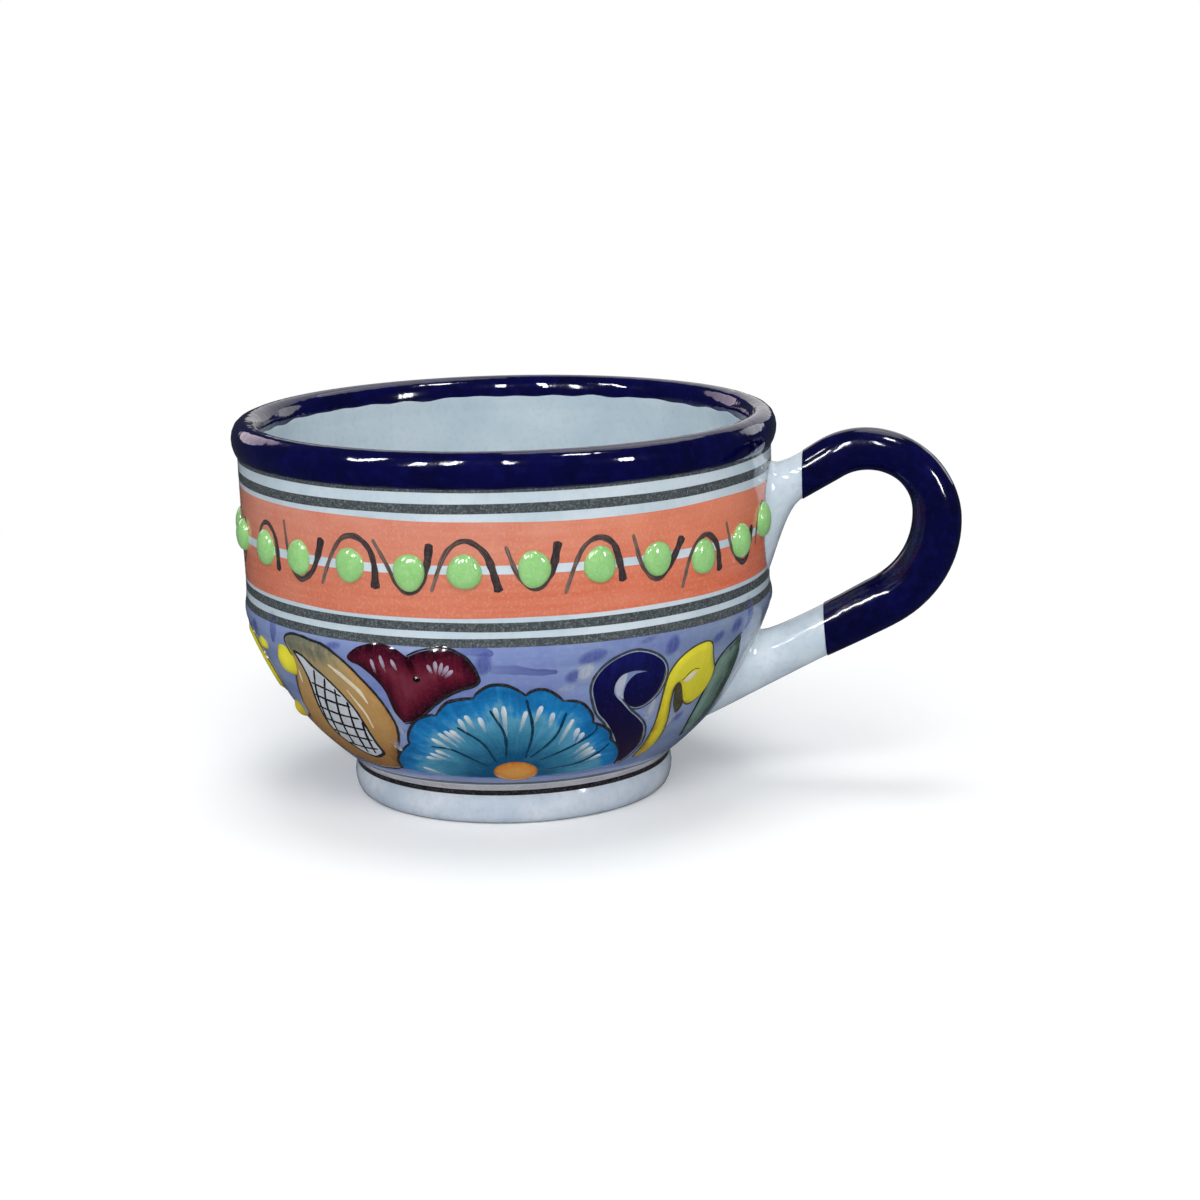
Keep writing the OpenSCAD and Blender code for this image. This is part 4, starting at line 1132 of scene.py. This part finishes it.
# Place, half width and half height of the pit, a pinhole whose shade is painted as a near-black raised drop
HEART_PIT = (-17.8, 35.4, 0.75, 0.65)
hearts, heart_dabs, pits, creases = new_coat(), new_coat(), new_coat(), new_coat()
for frieze in FRIEZES:
    left = sheet_line(HEART_LEFT, frieze, HEART_MIDDLE)
    right = sheet_line(HEART_RIGHT, frieze, HEART_MIDDLE)
    pool(hearts, np.vstack([left[:-1], right[:-1]]), HEART_MIDDLE, frieze, lift=0.1, puff=0.45, edge=2.2)
    stroke(motif_lines, beside(right, 0.3), HEART_MIDDLE, [0.3, 0.45, 0.6, 0.75, 0.6, 0.3], frieze, lift=0.08,
           crown=0.06, seed=260 + frieze)
    for k, dab in enumerate(HEART_DABS):
        stroke(heart_dabs, to_sheet(hand([dab[:2], dab[2:]], frieze), HEART_MIDDLE), HEART_MIDDLE,
               [0.5, 0.8, 0.6, 0.2], frieze, lift=0.6, crown=0.03, seed=270 + k, spacing=0.3)
    stroke(creases, sheet_line(HEART_CREASE, frieze, HEART_MIDDLE), HEART_MIDDLE, [1.2, 1.5, 1.1], frieze,
           lift=0.59, crown=0.02, seed=285)
    pit = to_sheet(hand([HEART_PIT[:2]], frieze), HEART_MIDDLE) + oval(*HEART_PIT[2:], 20)
    pool(pits, pit, HEART_MIDDLE, frieze, lift=0.6, puff=0.55, edge=0.65, grain=0.15)
heart_enamel = painted("maroon enamel",
                       [(0.0, srgb(34, 4, 17)), (0.28, srgb(68, 9, 31)), (0.6, srgb(92, 19, 40)),
                        (1.0, srgb(112, 42, 58))], (0, 5), srgb(128, 60, 78), hairs=(0.7, 0.12))
fire("heart_pools", hearts, heart_enamel, "hearts", "hearts")
rose_dab = thin_wash("pale dab enamel", srgb(196, 184, 206), srgb(170, 146, 176), srgb(216, 206, 220),
                     (1.0, 0.35), 0.8)
fire("heart_dabs", heart_dabs, rose_dab, "hearts")
crease_paint = thin_wash("heart crease", srgb(46, 6, 20), srgb(36, 4, 16), srgb(70, 20, 34), (1.1, 0.3), 0.8)
fire("heart_creases", creases, crease_paint, "hearts")
# The pit's near-black colour is painted shade of the pinhole
pit_shade_paint, _, _ = glaze("painted pit shade", srgb(18, 8, 14), srgb(6, 2, 6), srgb(50, 26, 36), cloud=(900, 0.6))
fire("heart_pits", pits, pit_shade_paint, "hearts")

# Blue scrolls
# A navy scroll rolls away from the right of each flower, in one fat stroke of trailed enamel. Its colour is set
# by height, purple-brown at the foot and a brighter blue at the top, which is painted light from above. A pale
# crescent fills its curl, and a dark liner line runs round it across a thin white gap.
SCROLL_MIDDLE = 28.0
SCROLL_BACK = [(34.2, 12.3), (32.3, 14.2), (30.4, 17), (27.7, 20.3), (24.6, 23.7), (21.9, 26.2), (20.4, 29),
               (19.5, 31.8), (19.8, 34), (21.2, 36.1), (23.8, 37.9), (27.3, 38.9), (30.4, 38.5), (33.5, 37.2),
               (35.8, 35.4), (37, 33.3), (37.1, 31), (36.2, 28.6), (34.2, 26.9), (31.9, 26.3), (29.6, 26.9),
               (27.7, 28.4), (27.1, 30.4), (27.5, 32.4), (29.2, 34), (32.1, 34.2)]
SCROLL_FRONT = [(32.1, 34.2), (30.4, 34.6), (28.1, 34.8), (25.8, 34.2), (24.6, 32.5), (24.6, 30.7), (25.6, 29.3),
                (27.3, 27.9), (30, 25.6), (33.1, 23.5), (35.8, 21.3), (37.3, 18.8), (37.9, 16.7), (37.1, 14.5),
                (35.8, 13.1), (34.2, 12.3)]
# How many points of each side the liner line follows, and its distance from the scroll across the white gap
OUTLINED_BACK, OUTLINED_STEM = 21, 6
GAP_WIDE, LINE_AWAY = 0.3, 0.5
CRESCENT = [(24.9, 33.4), (26.9, 34.6), (26.9, 32.5), (26.8, 30.3), (27.4, 28.3), (26, 29.2), (24.8, 31)]
scrolls, crescents, gaps, scroll_lines = new_coat(), new_coat(), new_coat(), new_coat()
for frieze in FRIEZES:
    back = sheet_line(SCROLL_BACK, frieze, SCROLL_MIDDLE)
    front = sheet_line(SCROLL_FRONT, frieze, SCROLL_MIDDLE)
    # Tinted by height: brighter blue towards the top as painted light
    pool(scrolls, np.vstack([back[:-1], front[:-1]]), SCROLL_MIDDLE, frieze, lift=0.1, puff=0.55, edge=1.7,
         tint=lambda on_bowl, depth, verts: on_bowl[:, 1])
    outer = sheet_line(SCROLL_BACK[:OUTLINED_BACK], frieze, SCROLL_MIDDLE)
    stem = sheet_line(SCROLL_FRONT[OUTLINED_STEM:], frieze, SCROLL_MIDDLE)
    for k, side in enumerate((outer, stem)):
        stroke(gaps, beside(side, GAP_WIDE / 2), SCROLL_MIDDLE, [GAP_WIDE, GAP_WIDE * 1.3, GAP_WIDE], frieze,
               lift=0.06, crown=0.02, seed=300 + k)
        stroke(scroll_lines, beside(side, LINE_AWAY), SCROLL_MIDDLE, [0.3, 0.5, 0.55, 0.45, 0.3], frieze,
               lift=0.09, crown=0.05, seed=310 + k)
    pool(crescents, sheet_line(CRESCENT, frieze, SCROLL_MIDDLE, closed=True), SCROLL_MIDDLE, frieze, lift=0.08,
         puff=0.08, edge=0.6, grain=0.35)
navy_with_painted_light = painted("navy enamel with painted light",
                        [(0.0, srgb(46, 24, 42)), (0.3, srgb(20, 11, 48)), (0.7, srgb(10, 8, 60)),
                         (1.0, srgb(18, 22, 86))], (12, 39), srgb(34, 38, 106), hairs=(1.0, 0.1))
fire("scroll_pools", scrolls, navy_with_painted_light, "blue_scrolls", "blue_scrolls")
crescent_enamel, _, _ = glaze("pale blue enamel", srgb(178, 184, 200), srgb(150, 158, 184), srgb(210, 214, 224),
                              cloud=(700, 0.6))
fire("scroll_crescents", crescents, crescent_enamel, "blue_scrolls")
gap_white, _, _ = glaze("white gap", srgb(150, 160, 178), srgb(120, 132, 156), srgb(196, 202, 212),
                        cloud=(600, 0.7))
fire("scroll_gaps", gaps, gap_white, "pod_panels")
grey_liner, _, _ = glaze("grey liner paint", srgb(62, 70, 80), srgb(40, 46, 56), srgb(110, 118, 128),
                         cloud=(800, 0.7))
fire("scroll_outlines", scroll_lines, grey_liner, "blue_scrolls")

# Yellow curls
# A yellow curl stands beside each scroll, thick bright enamel that turns ochre down its stem, partly its own
# tone and partly painted shade, with an olive shadow in its crook and a beige crescent. A round yellow drop
# hangs over the shoulder of each pod, darker at its foot by the same painted shade.
CURL_MIDDLE = 45.0
CURL = [(39.6, 13.1), (40, 15), (40, 17.6), (39.8, 20.3), (39.2, 23.8), (38.5, 27.6), (38.2, 30.7), (38.5, 33.1),
        (40, 35.4), (42.7, 37.1), (45.8, 37.9), (48.1, 37.8), (49.6, 36.7), (50.8, 34.7), (52.3, 32.6),
        (53.8, 30.7), (54, 28.3), (52.9, 25.9), (51.2, 24.6), (48.8, 24.2), (46.5, 25.2), (45, 26.9), (43.8, 28.6),
        (42.9, 29.7), (41.9, 30.2), (41, 29), (41.5, 26.2), (42.7, 23.2), (43.8, 20.6), (44.6, 18.2), (44.6, 16.1),
        (43.5, 14.5), (41.5, 13.4)]
CURL_SHADOW = [(41.4, 29.9), (43.6, 29.6), (45.2, 27.2), (46.7, 24.3), (45.6, 22.6), (43.6, 24.4), (42.2, 26.8)]
CURL_CRESCENT = [(42.9, 30.5), (43.3, 31.4), (44.8, 32.3), (46.5, 32.1), (45.8, 31), (44.2, 30.2)]
CURL_LINE = [(42.4, 30.9), (43.6, 32.2), (45.2, 32.9), (46.9, 32.5)]
# Place, half width and half height of each yellow drop
DROPS = [(-54.8, 34.6, 3.2, 3.6), (-66.2, 36.2, 2.2, 1.5), (-67, 21.4, 1.8, 2.2)]
# The friezes that have a pod, because the handle's joint takes the place of the last one
PODS = (0, 1)
curls, shadows, beiges = new_coat(), new_coat(), new_coat()
for frieze in FRIEZES:
    curl = sheet_line(CURL, frieze, CURL_MIDDLE, closed=True)
    # Tinted by height and darker at the edge: ochre towards the foot, partly painted shade
    pool(curls, curl, CURL_MIDDLE, frieze, lift=0.1, puff=0.55, edge=1.5,
         tint=lambda on_bowl, depth, verts: on_bowl[:, 1] - 9 * np.maximum(0, 1 - depth / 1.1))
    stroke(shadows, outward(curl, 0.15), CURL_MIDDLE, [0.3, 0.45, 0.35, 0.45, 0.3], frieze, lift=0.09, crown=0.05,
           seed=330 + frieze, closed=True)
    pool(shadows, sheet_line(CURL_SHADOW, frieze, CURL_MIDDLE, closed=True), CURL_MIDDLE, frieze, lift=0.07,
         puff=0.05, edge=0.5, grain=0.35)
    pool(beiges, sheet_line(CURL_CRESCENT, frieze, CURL_MIDDLE, closed=True), CURL_MIDDLE, frieze, lift=0.62,
         puff=0.1, edge=0.4, grain=0.3)
    stroke(motif_lines, sheet_line(CURL_LINE, frieze, CURL_MIDDLE), CURL_MIDDLE, [0.3, 0.6, 0.5, 0.25], frieze,
           lift=0.62, crown=0.04, seed=340 + frieze)
for frieze in PODS:
    for degrees, height, wide, tall in DROPS:
        round_drop = to_sheet(hand([(degrees, height)], frieze), degrees) + oval(wide, tall, 28)
        # Drops are tinted by height too, darker towards their foot as painted shade
        pool(curls, round_drop, degrees, frieze, lift=0.1, puff=0.4 * tall, edge=0.9 * min(wide, tall),
             tint=lambda on_bowl, depth, verts: on_bowl[:, 1] - 8 * np.maximum(0, 1 - depth / 1.2))
yellow_with_painted_shade = painted("yellow enamel with painted shade",
                      [(0.0, srgb(150, 116, 36)), (0.25, srgb(196, 172, 44)), (0.55, srgb(214, 202, 46)),
                       (1.0, srgb(222, 212, 60))], (6, 38), srgb(232, 226, 120), hairs=(1.0, 0.1), deep=0.88)
fire("curl_pools", curls, yellow_with_painted_shade, "yellow_curls", "yellow_curls")
olive_paint, _, _ = glaze("olive shadow", srgb(78, 74, 54), srgb(52, 50, 38), srgb(120, 116, 80), cloud=(700, 0.6))
fire("curl_shadows", shadows, olive_paint, "yellow_curls")
beige_enamel, _, _ = glaze("beige enamel", srgb(222, 214, 186), srgb(196, 186, 152), srgb(236, 230, 208),
                           cloud=(700, 0.6))
fire("curl_crescents", beiges, beige_enamel, "yellow_curls")

# Green leaf
# One grey-green leaf stands between the last curl and the handle, laid in a single soft stroke.
# It is pale on the side of the curl, dark towards the handle, and edged with the liner brush on its left.
LEAF_MIDDLE = 59.5
LEAF_LEFT = [(57.5, 15.2), (54.6, 20), (54.2, 25), (54.3, 29.5), (54.2, 32), (56.6, 34.2), (61.2, 36.6)]
LEAF_RIGHT = [(61.2, 36.6), (64, 33.2), (65.2, 29), (65.3, 24), (63.8, 18.5), (57.5, 15.2)]
LEAF_LINE = [(57, 15), (54.1, 20), (53.7, 25), (53.8, 29.6), (53.9, 32.4), (56.2, 34.8), (61.2, 37.1)]
leaves = new_coat()
left, right = sheet_line(LEAF_LEFT, 0, LEAF_MIDDLE), sheet_line(LEAF_RIGHT, 0, LEAF_MIDDLE)
pool(leaves, np.vstack([left[:-1], right[:-1]]), LEAF_MIDDLE, lift=0.1, puff=0.4, edge=1.4,
     tint=lambda on_bowl, depth, verts: on_bowl[:, 0] + 3 * np.maximum(0, 1 - depth))
stroke(motif_lines, sheet_line(LEAF_LINE, 0, LEAF_MIDDLE), LEAF_MIDDLE, [0.4, 0.65, 0.7, 0.5], lift=0.07,
       crown=0.05, seed=360)
leaf_enamel = painted("grey green enamel",
                      [(0.0, srgb(120, 146, 134)), (0.4, srgb(100, 126, 114)), (0.62, srgb(62, 80, 68)),
                       (1.0, srgb(44, 56, 48))], (54.5, 64.5), srgb(132, 158, 140), hairs=(1.0, 0.15))
fire("leaf_pool", leaves, leaf_enamel, "green_leaves", "green_leaves")

# Pods
# An ochre pod lies on the left of a frieze, split open over a white panel with a black net on it. The husk is
# tinted by height, darker brown at the foot, partly its own tone and partly painted shade, and grey at the tip,
# with cream flicks along its back.
POD_MIDDLE = -45.0
POD = [(-52.3, 39.6), (-50, 40.8), (-46.7, 40.9), (-43.3, 40.5), (-39.7, 40), (-36.7, 38.5), (-34, 36.3),
       (-32, 34.1), (-30, 31.7), (-28.3, 29), (-27.3, 26.3), (-26.8, 24), (-27.3, 21.8), (-28.3, 19.8),
       (-29.7, 18), (-31.3, 15.9), (-32.7, 13.8), (-34.7, 12.2), (-39.3, 11.5), (-44.7, 11.3), (-50, 11.7),
       (-54.7, 12.8), (-59.7, 15), (-63, 17.7), (-64, 20), (-60.3, 21.6), (-59, 24.5), (-57, 27.5),
       (-54.7, 30.5), (-53, 32.6), (-51.7, 35), (-52, 37.2)]
PANEL = [(-49.3, 37.7), (-46.7, 37), (-44.7, 35.3), (-42, 33.5), (-39.7, 31.4), (-37.7, 29), (-36.3, 26.6),
         (-35.7, 24), (-35.3, 21), (-35.2, 18.8), (-35, 16.7), (-37, 15.7), (-39.7, 15), (-43, 15.5), (-45.3, 16.5),
         (-48, 18), (-49.7, 19.8), (-50.3, 22), (-50, 24.5), (-49.3, 27.2), (-48.5, 29.6), (-48, 32.3),
         (-48.3, 34.7), (-49, 36.6)]
NET = [[(-44.5, 34.5), (-47.6, 28.5), (-50.1, 21.5)], [(-42, 33), (-45.8, 26.5), (-48.6, 19)],
       [(-40, 31), (-43, 24), (-45, 17)], [(-37.8, 28.4), (-39.8, 22), (-41.5, 15.8)],
       [(-36, 24), (-37.2, 20), (-38.4, 16)], [(-47.6, 31.2), (-43, 30.4), (-39, 29.4)],
       [(-48.6, 28.4), (-43, 27.6), (-37.4, 27.2)], [(-49.6, 25.6), (-43, 24.8), (-36.4, 24.6)],
       [(-50, 22.8), (-43, 22.2), (-36, 22)], [(-49.4, 20.2), (-43, 19.8), (-35.8, 19.6)],
       [(-46.6, 17.6), (-41, 17.2), (-36, 17.4)]]
# Cream flicks on the husk, with their widths
CREAM_FLICKS = [([(-39.3, 36.4), (-36, 34.1), (-33, 31.4), (-31.7, 28.7)], [0.5, 1.1, 1.3, 0.5]),
                ([(-36.4, 31.2), (-33.8, 26.6), (-33.2, 22.8)], [0.3, 0.7, 0.3]),
                ([(-51.6, 30.5), (-50.6, 33.5)], [0.3, 0.6, 0.3])]
husks, panels, nets, creams = new_coat(), new_coat(), new_coat(), new_coat()
for frieze in PODS:
    pod = sheet_line(POD, frieze, POD_MIDDLE, closed=True)
    panel = sheet_line(PANEL, frieze, POD_MIDDLE, closed=True)
    # Tinted by height, darker towards the foot partly as painted shade, and darker at the edge below the tip
    pool(husks, pod, POD_MIDDLE, frieze, lift=0.1, puff=0.4, edge=1.6, grain=0.5,
         tint=lambda on_bowl, depth, verts: on_bowl[:, 1] - 9 * np.maximum(0, 1 - depth / 1.8)
         * np.clip((39 - on_bowl[:, 1]) / 4, 0, 1))
    pool(panels, panel, POD_MIDDLE, frieze, lift=0.48, puff=0.06, edge=0.8, grain=0.5)
    stroke(motif_lines, outward(pod, 0.2), POD_MIDDLE, [0.5, 0.75, 0.5, 0.4, 0.35, 0.45], frieze, lift=0.1,
           crown=0.06, seed=370 + frieze, closed=True)
    stroke(motif_lines, panel, POD_MIDDLE, [0.8, 0.65, 0.85, 0.7, 0.8], frieze, lift=0.5, crown=0.06,
           seed=380 + frieze, closed=True)
    for k, thread in enumerate(NET):
        stroke(nets, sheet_line(thread, frieze, POD_MIDDLE), POD_MIDDLE, [0.5, 0.65, 0.55], frieze, lift=0.54,
               crown=0.05, seed=390 + k)
    for k, (flick, widths) in enumerate(CREAM_FLICKS):
        stroke(creams, sheet_line(flick, frieze, POD_MIDDLE), POD_MIDDLE, widths, frieze, lift=0.51, crown=0.05,
               seed=420 + k)
husk_with_painted_shade = painted("ochre enamel",
                      [(0.0, srgb(112, 74, 40)), (0.3, srgb(162, 116, 64)), (0.65, srgb(186, 146, 90)),
                       (0.84, srgb(168, 148, 104)), (0.93, srgb(124, 122, 100)), (1.0, srgb(106, 108, 94))],
                      (4, 41), srgb(204, 178, 126), wander=0.05, hairs=(0.9, 0.04))
fire("pod_husk_pools", husks, husk_with_painted_shade, "pod_husks", "pod_husks")
panel_enamel, _, _ = glaze("white panel enamel", srgb(206, 210, 214), srgb(180, 186, 194), srgb(150, 156, 168),
                           cloud=(300, 0.6))
fire("pod_panel_pools", panels, panel_enamel, "pod_panels", "pod_panels")
net_paint, _, _ = glaze("black net paint", srgb(34, 30, 32), srgb(18, 14, 16), srgb(84, 80, 84), cloud=(800, 0.6))
fire("pod_nets", nets, net_paint, "pod_lattices", "pod_lattices")
cream_enamel, _, _ = glaze("cream flick enamel", srgb(226, 214, 186), srgb(204, 186, 150), srgb(238, 230, 212),
                           cloud=(700, 0.6))
fire("pod_flicks", creams, cream_enamel, "pod_husks")
fire("flower_whites", flower_whites, white_flick, "pod_panels")
fire("motif_outlines", motif_lines, liner_paint, "brushed_arcs")

# Studio
# A plain white floor that fades into a white room, with broad soft lamps that light the mug. Tall narrow lamps
# in front are seen only as crisp points of light in the glaze, and broad ones behind as the sheen on its edges.
# The camera stands where the photograph was taken.
CAMERA_AIM = Vector((18.83, 2.31, 38.6)) * MM
CAMERA_DISTANCE = 561.3 * MM
CAMERA_ROUND, CAMERA_UP, CAMERA_ROLL = math.radians(7), math.radians(12.486), math.radians(1.239)
PHOTO_SIDE = 1200
PHOTO_FOCUS = 2681.2
SENSOR = 36.0
# Place, width, height, power and tint of each lamp, and whether it only sparkles in the glaze or lights the mug
LAMPS = [((0.35, -1.25, 1.35), 0.9, 0.9, 12, (1.0, 0.98, 0.95), False),
         ((-1.1, -0.7, 0.9), 0.8, 0.8, 2.6, (0.94, 0.97, 1.0), False),
         ((0, 0.1, 1.6), 0.7, 0.7, 7, (1, 1, 1), False),
         ((0.15, -1.5, 0.3), 0.9, 0.9, 7.5, (1, 1, 1), False),
         ((-0.96, -0.55, 1.05), 0.13, 0.6, 9, (1, 1, 1), True),
         ((-0.28, -1.05, 1.0), 0.13, 0.6, 10.5, (1, 1, 1), True),
         ((0.2, -1.1, 1.05), 0.1, 0.5, 6.5, (1, 1, 1), True),
         ((0.3, 0.75, 1.35), 0.9, 0.9, 3.6, (1, 1, 1), True),
         ((0.5, -0.2, 1.4), 0.25, 0.25, 7, (1, 1, 1), True),
         ((-0.62, -1.05, 0.85), 0.1, 0.5, 7.5, (1, 1, 1), True),
         ((0.1, 1.5, 0.8), 1.5, 1.5, 5, (1, 0.98, 0.97), True),
         ((-1.1, 1.0, 0.6), 0.8, 0.8, 3.4, (1.0, 0.82, 0.92), True),
         ((0.95, 1.2, 0.5), 0.6, 0.6, 1.8, (1, 1, 1), True),
         ((1.1, -0.66, 0.5), 0.14, 0.4, 8, (1, 1, 1), True)]
LAMP_AIM = Vector((0, 0, 0.04))
# Distances between which the floor fades into the room, and its own glow close to the mug
FLOOR_FADE = (0.11, 0.34)
FLOOR_GLOW = 0.12
# Strength of the room's light on the mug, and of the room as the glaze mirrors it
ROOM_LIGHT, ROOM_MIRRORED = 0.46, 0.05

bpy.ops.object.select_all(action="DESELECT")
bpy.ops.mesh.primitive_grid_add(x_subdivisions=8, y_subdivisions=8, size=12)
floor = bpy.context.object
floor.name = "studio_floor"
floor_finish = bpy.data.materials.new("white studio floor")
floor_finish.use_nodes = True
tree = floor_finish.node_tree
paper = tree.nodes["Principled BSDF"]
paper.inputs["Base Color"].default_value = (0.94, 0.94, 0.94, 1)
paper.inputs["Roughness"].default_value = 0.9
paper.inputs["Emission Color"].default_value = (1, 1, 1, 1)
paper.inputs["Emission Strength"].default_value = FLOOR_GLOW
glow = tree.nodes.new("ShaderNodeEmission")
glow.inputs["Color"].default_value = (1, 1, 1, 1)
shade = tree.nodes.new("ShaderNodeBsdfDiffuse")
shade.inputs["Color"].default_value = (0.62, 0.62, 0.64, 1)
away = tree.nodes.new("ShaderNodeVectorMath")
away.operation = "LENGTH"
far_off, looked_at = tree.nodes.new("ShaderNodeMixShader"), tree.nodes.new("ShaderNodeMixShader")
ray = tree.nodes.new("ShaderNodeLightPath")
wire(tree, (add_place(tree), away.inputs[0]),
     (add_range(tree, away.outputs["Value"], *FLOOR_FADE), far_off.inputs[0]),
     (paper.outputs[0], far_off.inputs[1]), (glow.outputs[0], far_off.inputs[2]),
     (ray.outputs["Is Camera Ray"], looked_at.inputs[0]), (shade.outputs[0], looked_at.inputs[1]),
     (far_off.outputs[0], looked_at.inputs[2]),
     (looked_at.outputs[0], tree.nodes["Material Output"].inputs["Surface"]))
floor.data.materials.append(floor_finish)
floor.visible_glossy = False

for i, (spot, wide, tall, power, tint, sparkles) in enumerate(LAMPS):
    lamp = bpy.data.lights.new("studio lamp %d" % i, "AREA")
    lamp.shape = "ELLIPSE"
    lamp.size, lamp.size_y, lamp.energy, lamp.color = wide, tall, power, tint
    holder = bpy.data.objects.new(lamp.name, lamp)
    holder.location = spot
    holder.rotation_euler = (LAMP_AIM - Vector(spot)).to_track_quat("-Z", "Y").to_euler()
    holder.visible_glossy, holder.visible_diffuse = sparkles, not sparkles
    bpy.context.scene.collection.objects.link(holder)

room = bpy.data.worlds.new("studio room")
room.use_nodes = True
tree = room.node_tree
dim = tree.nodes["Background"]
dim.inputs["Color"].default_value = (0.9, 0.95, 1.0, 1)
dim.inputs["Strength"].default_value = ROOM_LIGHT
dark = tree.nodes.new("ShaderNodeBackground")
dark.inputs["Color"].default_value = (0.8, 0.9, 1.0, 1)
dark.inputs["Strength"].default_value = ROOM_MIRRORED
bright = tree.nodes.new("ShaderNodeBackground")
bright.inputs["Color"].default_value = (1, 1, 1, 1)
ray = tree.nodes.new("ShaderNodeLightPath")
mirrored_room, seen_room = tree.nodes.new("ShaderNodeMixShader"), tree.nodes.new("ShaderNodeMixShader")
wire(tree, (ray.outputs["Is Glossy Ray"], mirrored_room.inputs[0]), (dim.outputs[0], mirrored_room.inputs[1]),
     (dark.outputs[0], mirrored_room.inputs[2]), (ray.outputs["Is Camera Ray"], seen_room.inputs[0]),
     (mirrored_room.outputs[0], seen_room.inputs[1]), (bright.outputs[0], seen_room.inputs[2]),
     (seen_room.outputs[0], tree.nodes["World Output"].inputs["Surface"]))
bpy.context.scene.world = room
bpy.context.scene.view_settings.view_transform = "Standard"

back = Vector((math.sin(CAMERA_ROUND) * math.cos(CAMERA_UP), -math.cos(CAMERA_ROUND) * math.cos(CAMERA_UP),
               math.sin(CAMERA_UP)))
level = Vector((math.cos(CAMERA_ROUND), math.sin(CAMERA_ROUND), 0))
upright = back.cross(level)
right = level * math.cos(CAMERA_ROLL) - upright * math.sin(CAMERA_ROLL)
up = level * math.sin(CAMERA_ROLL) + upright * math.cos(CAMERA_ROLL)
lens = bpy.data.cameras.new("photo camera")
lens.sensor_width = SENSOR
lens.lens = PHOTO_FOCUS / PHOTO_SIDE * SENSOR
lens.clip_start = 0.01
camera = bpy.data.objects.new("photo camera", lens)
camera.matrix_world = (Matrix.Translation(CAMERA_AIM + back * CAMERA_DISTANCE)
                       @ Matrix((right, up, back)).transposed().to_4x4())
bpy.context.scene.collection.objects.link(camera)
bpy.context.scene.camera = camera
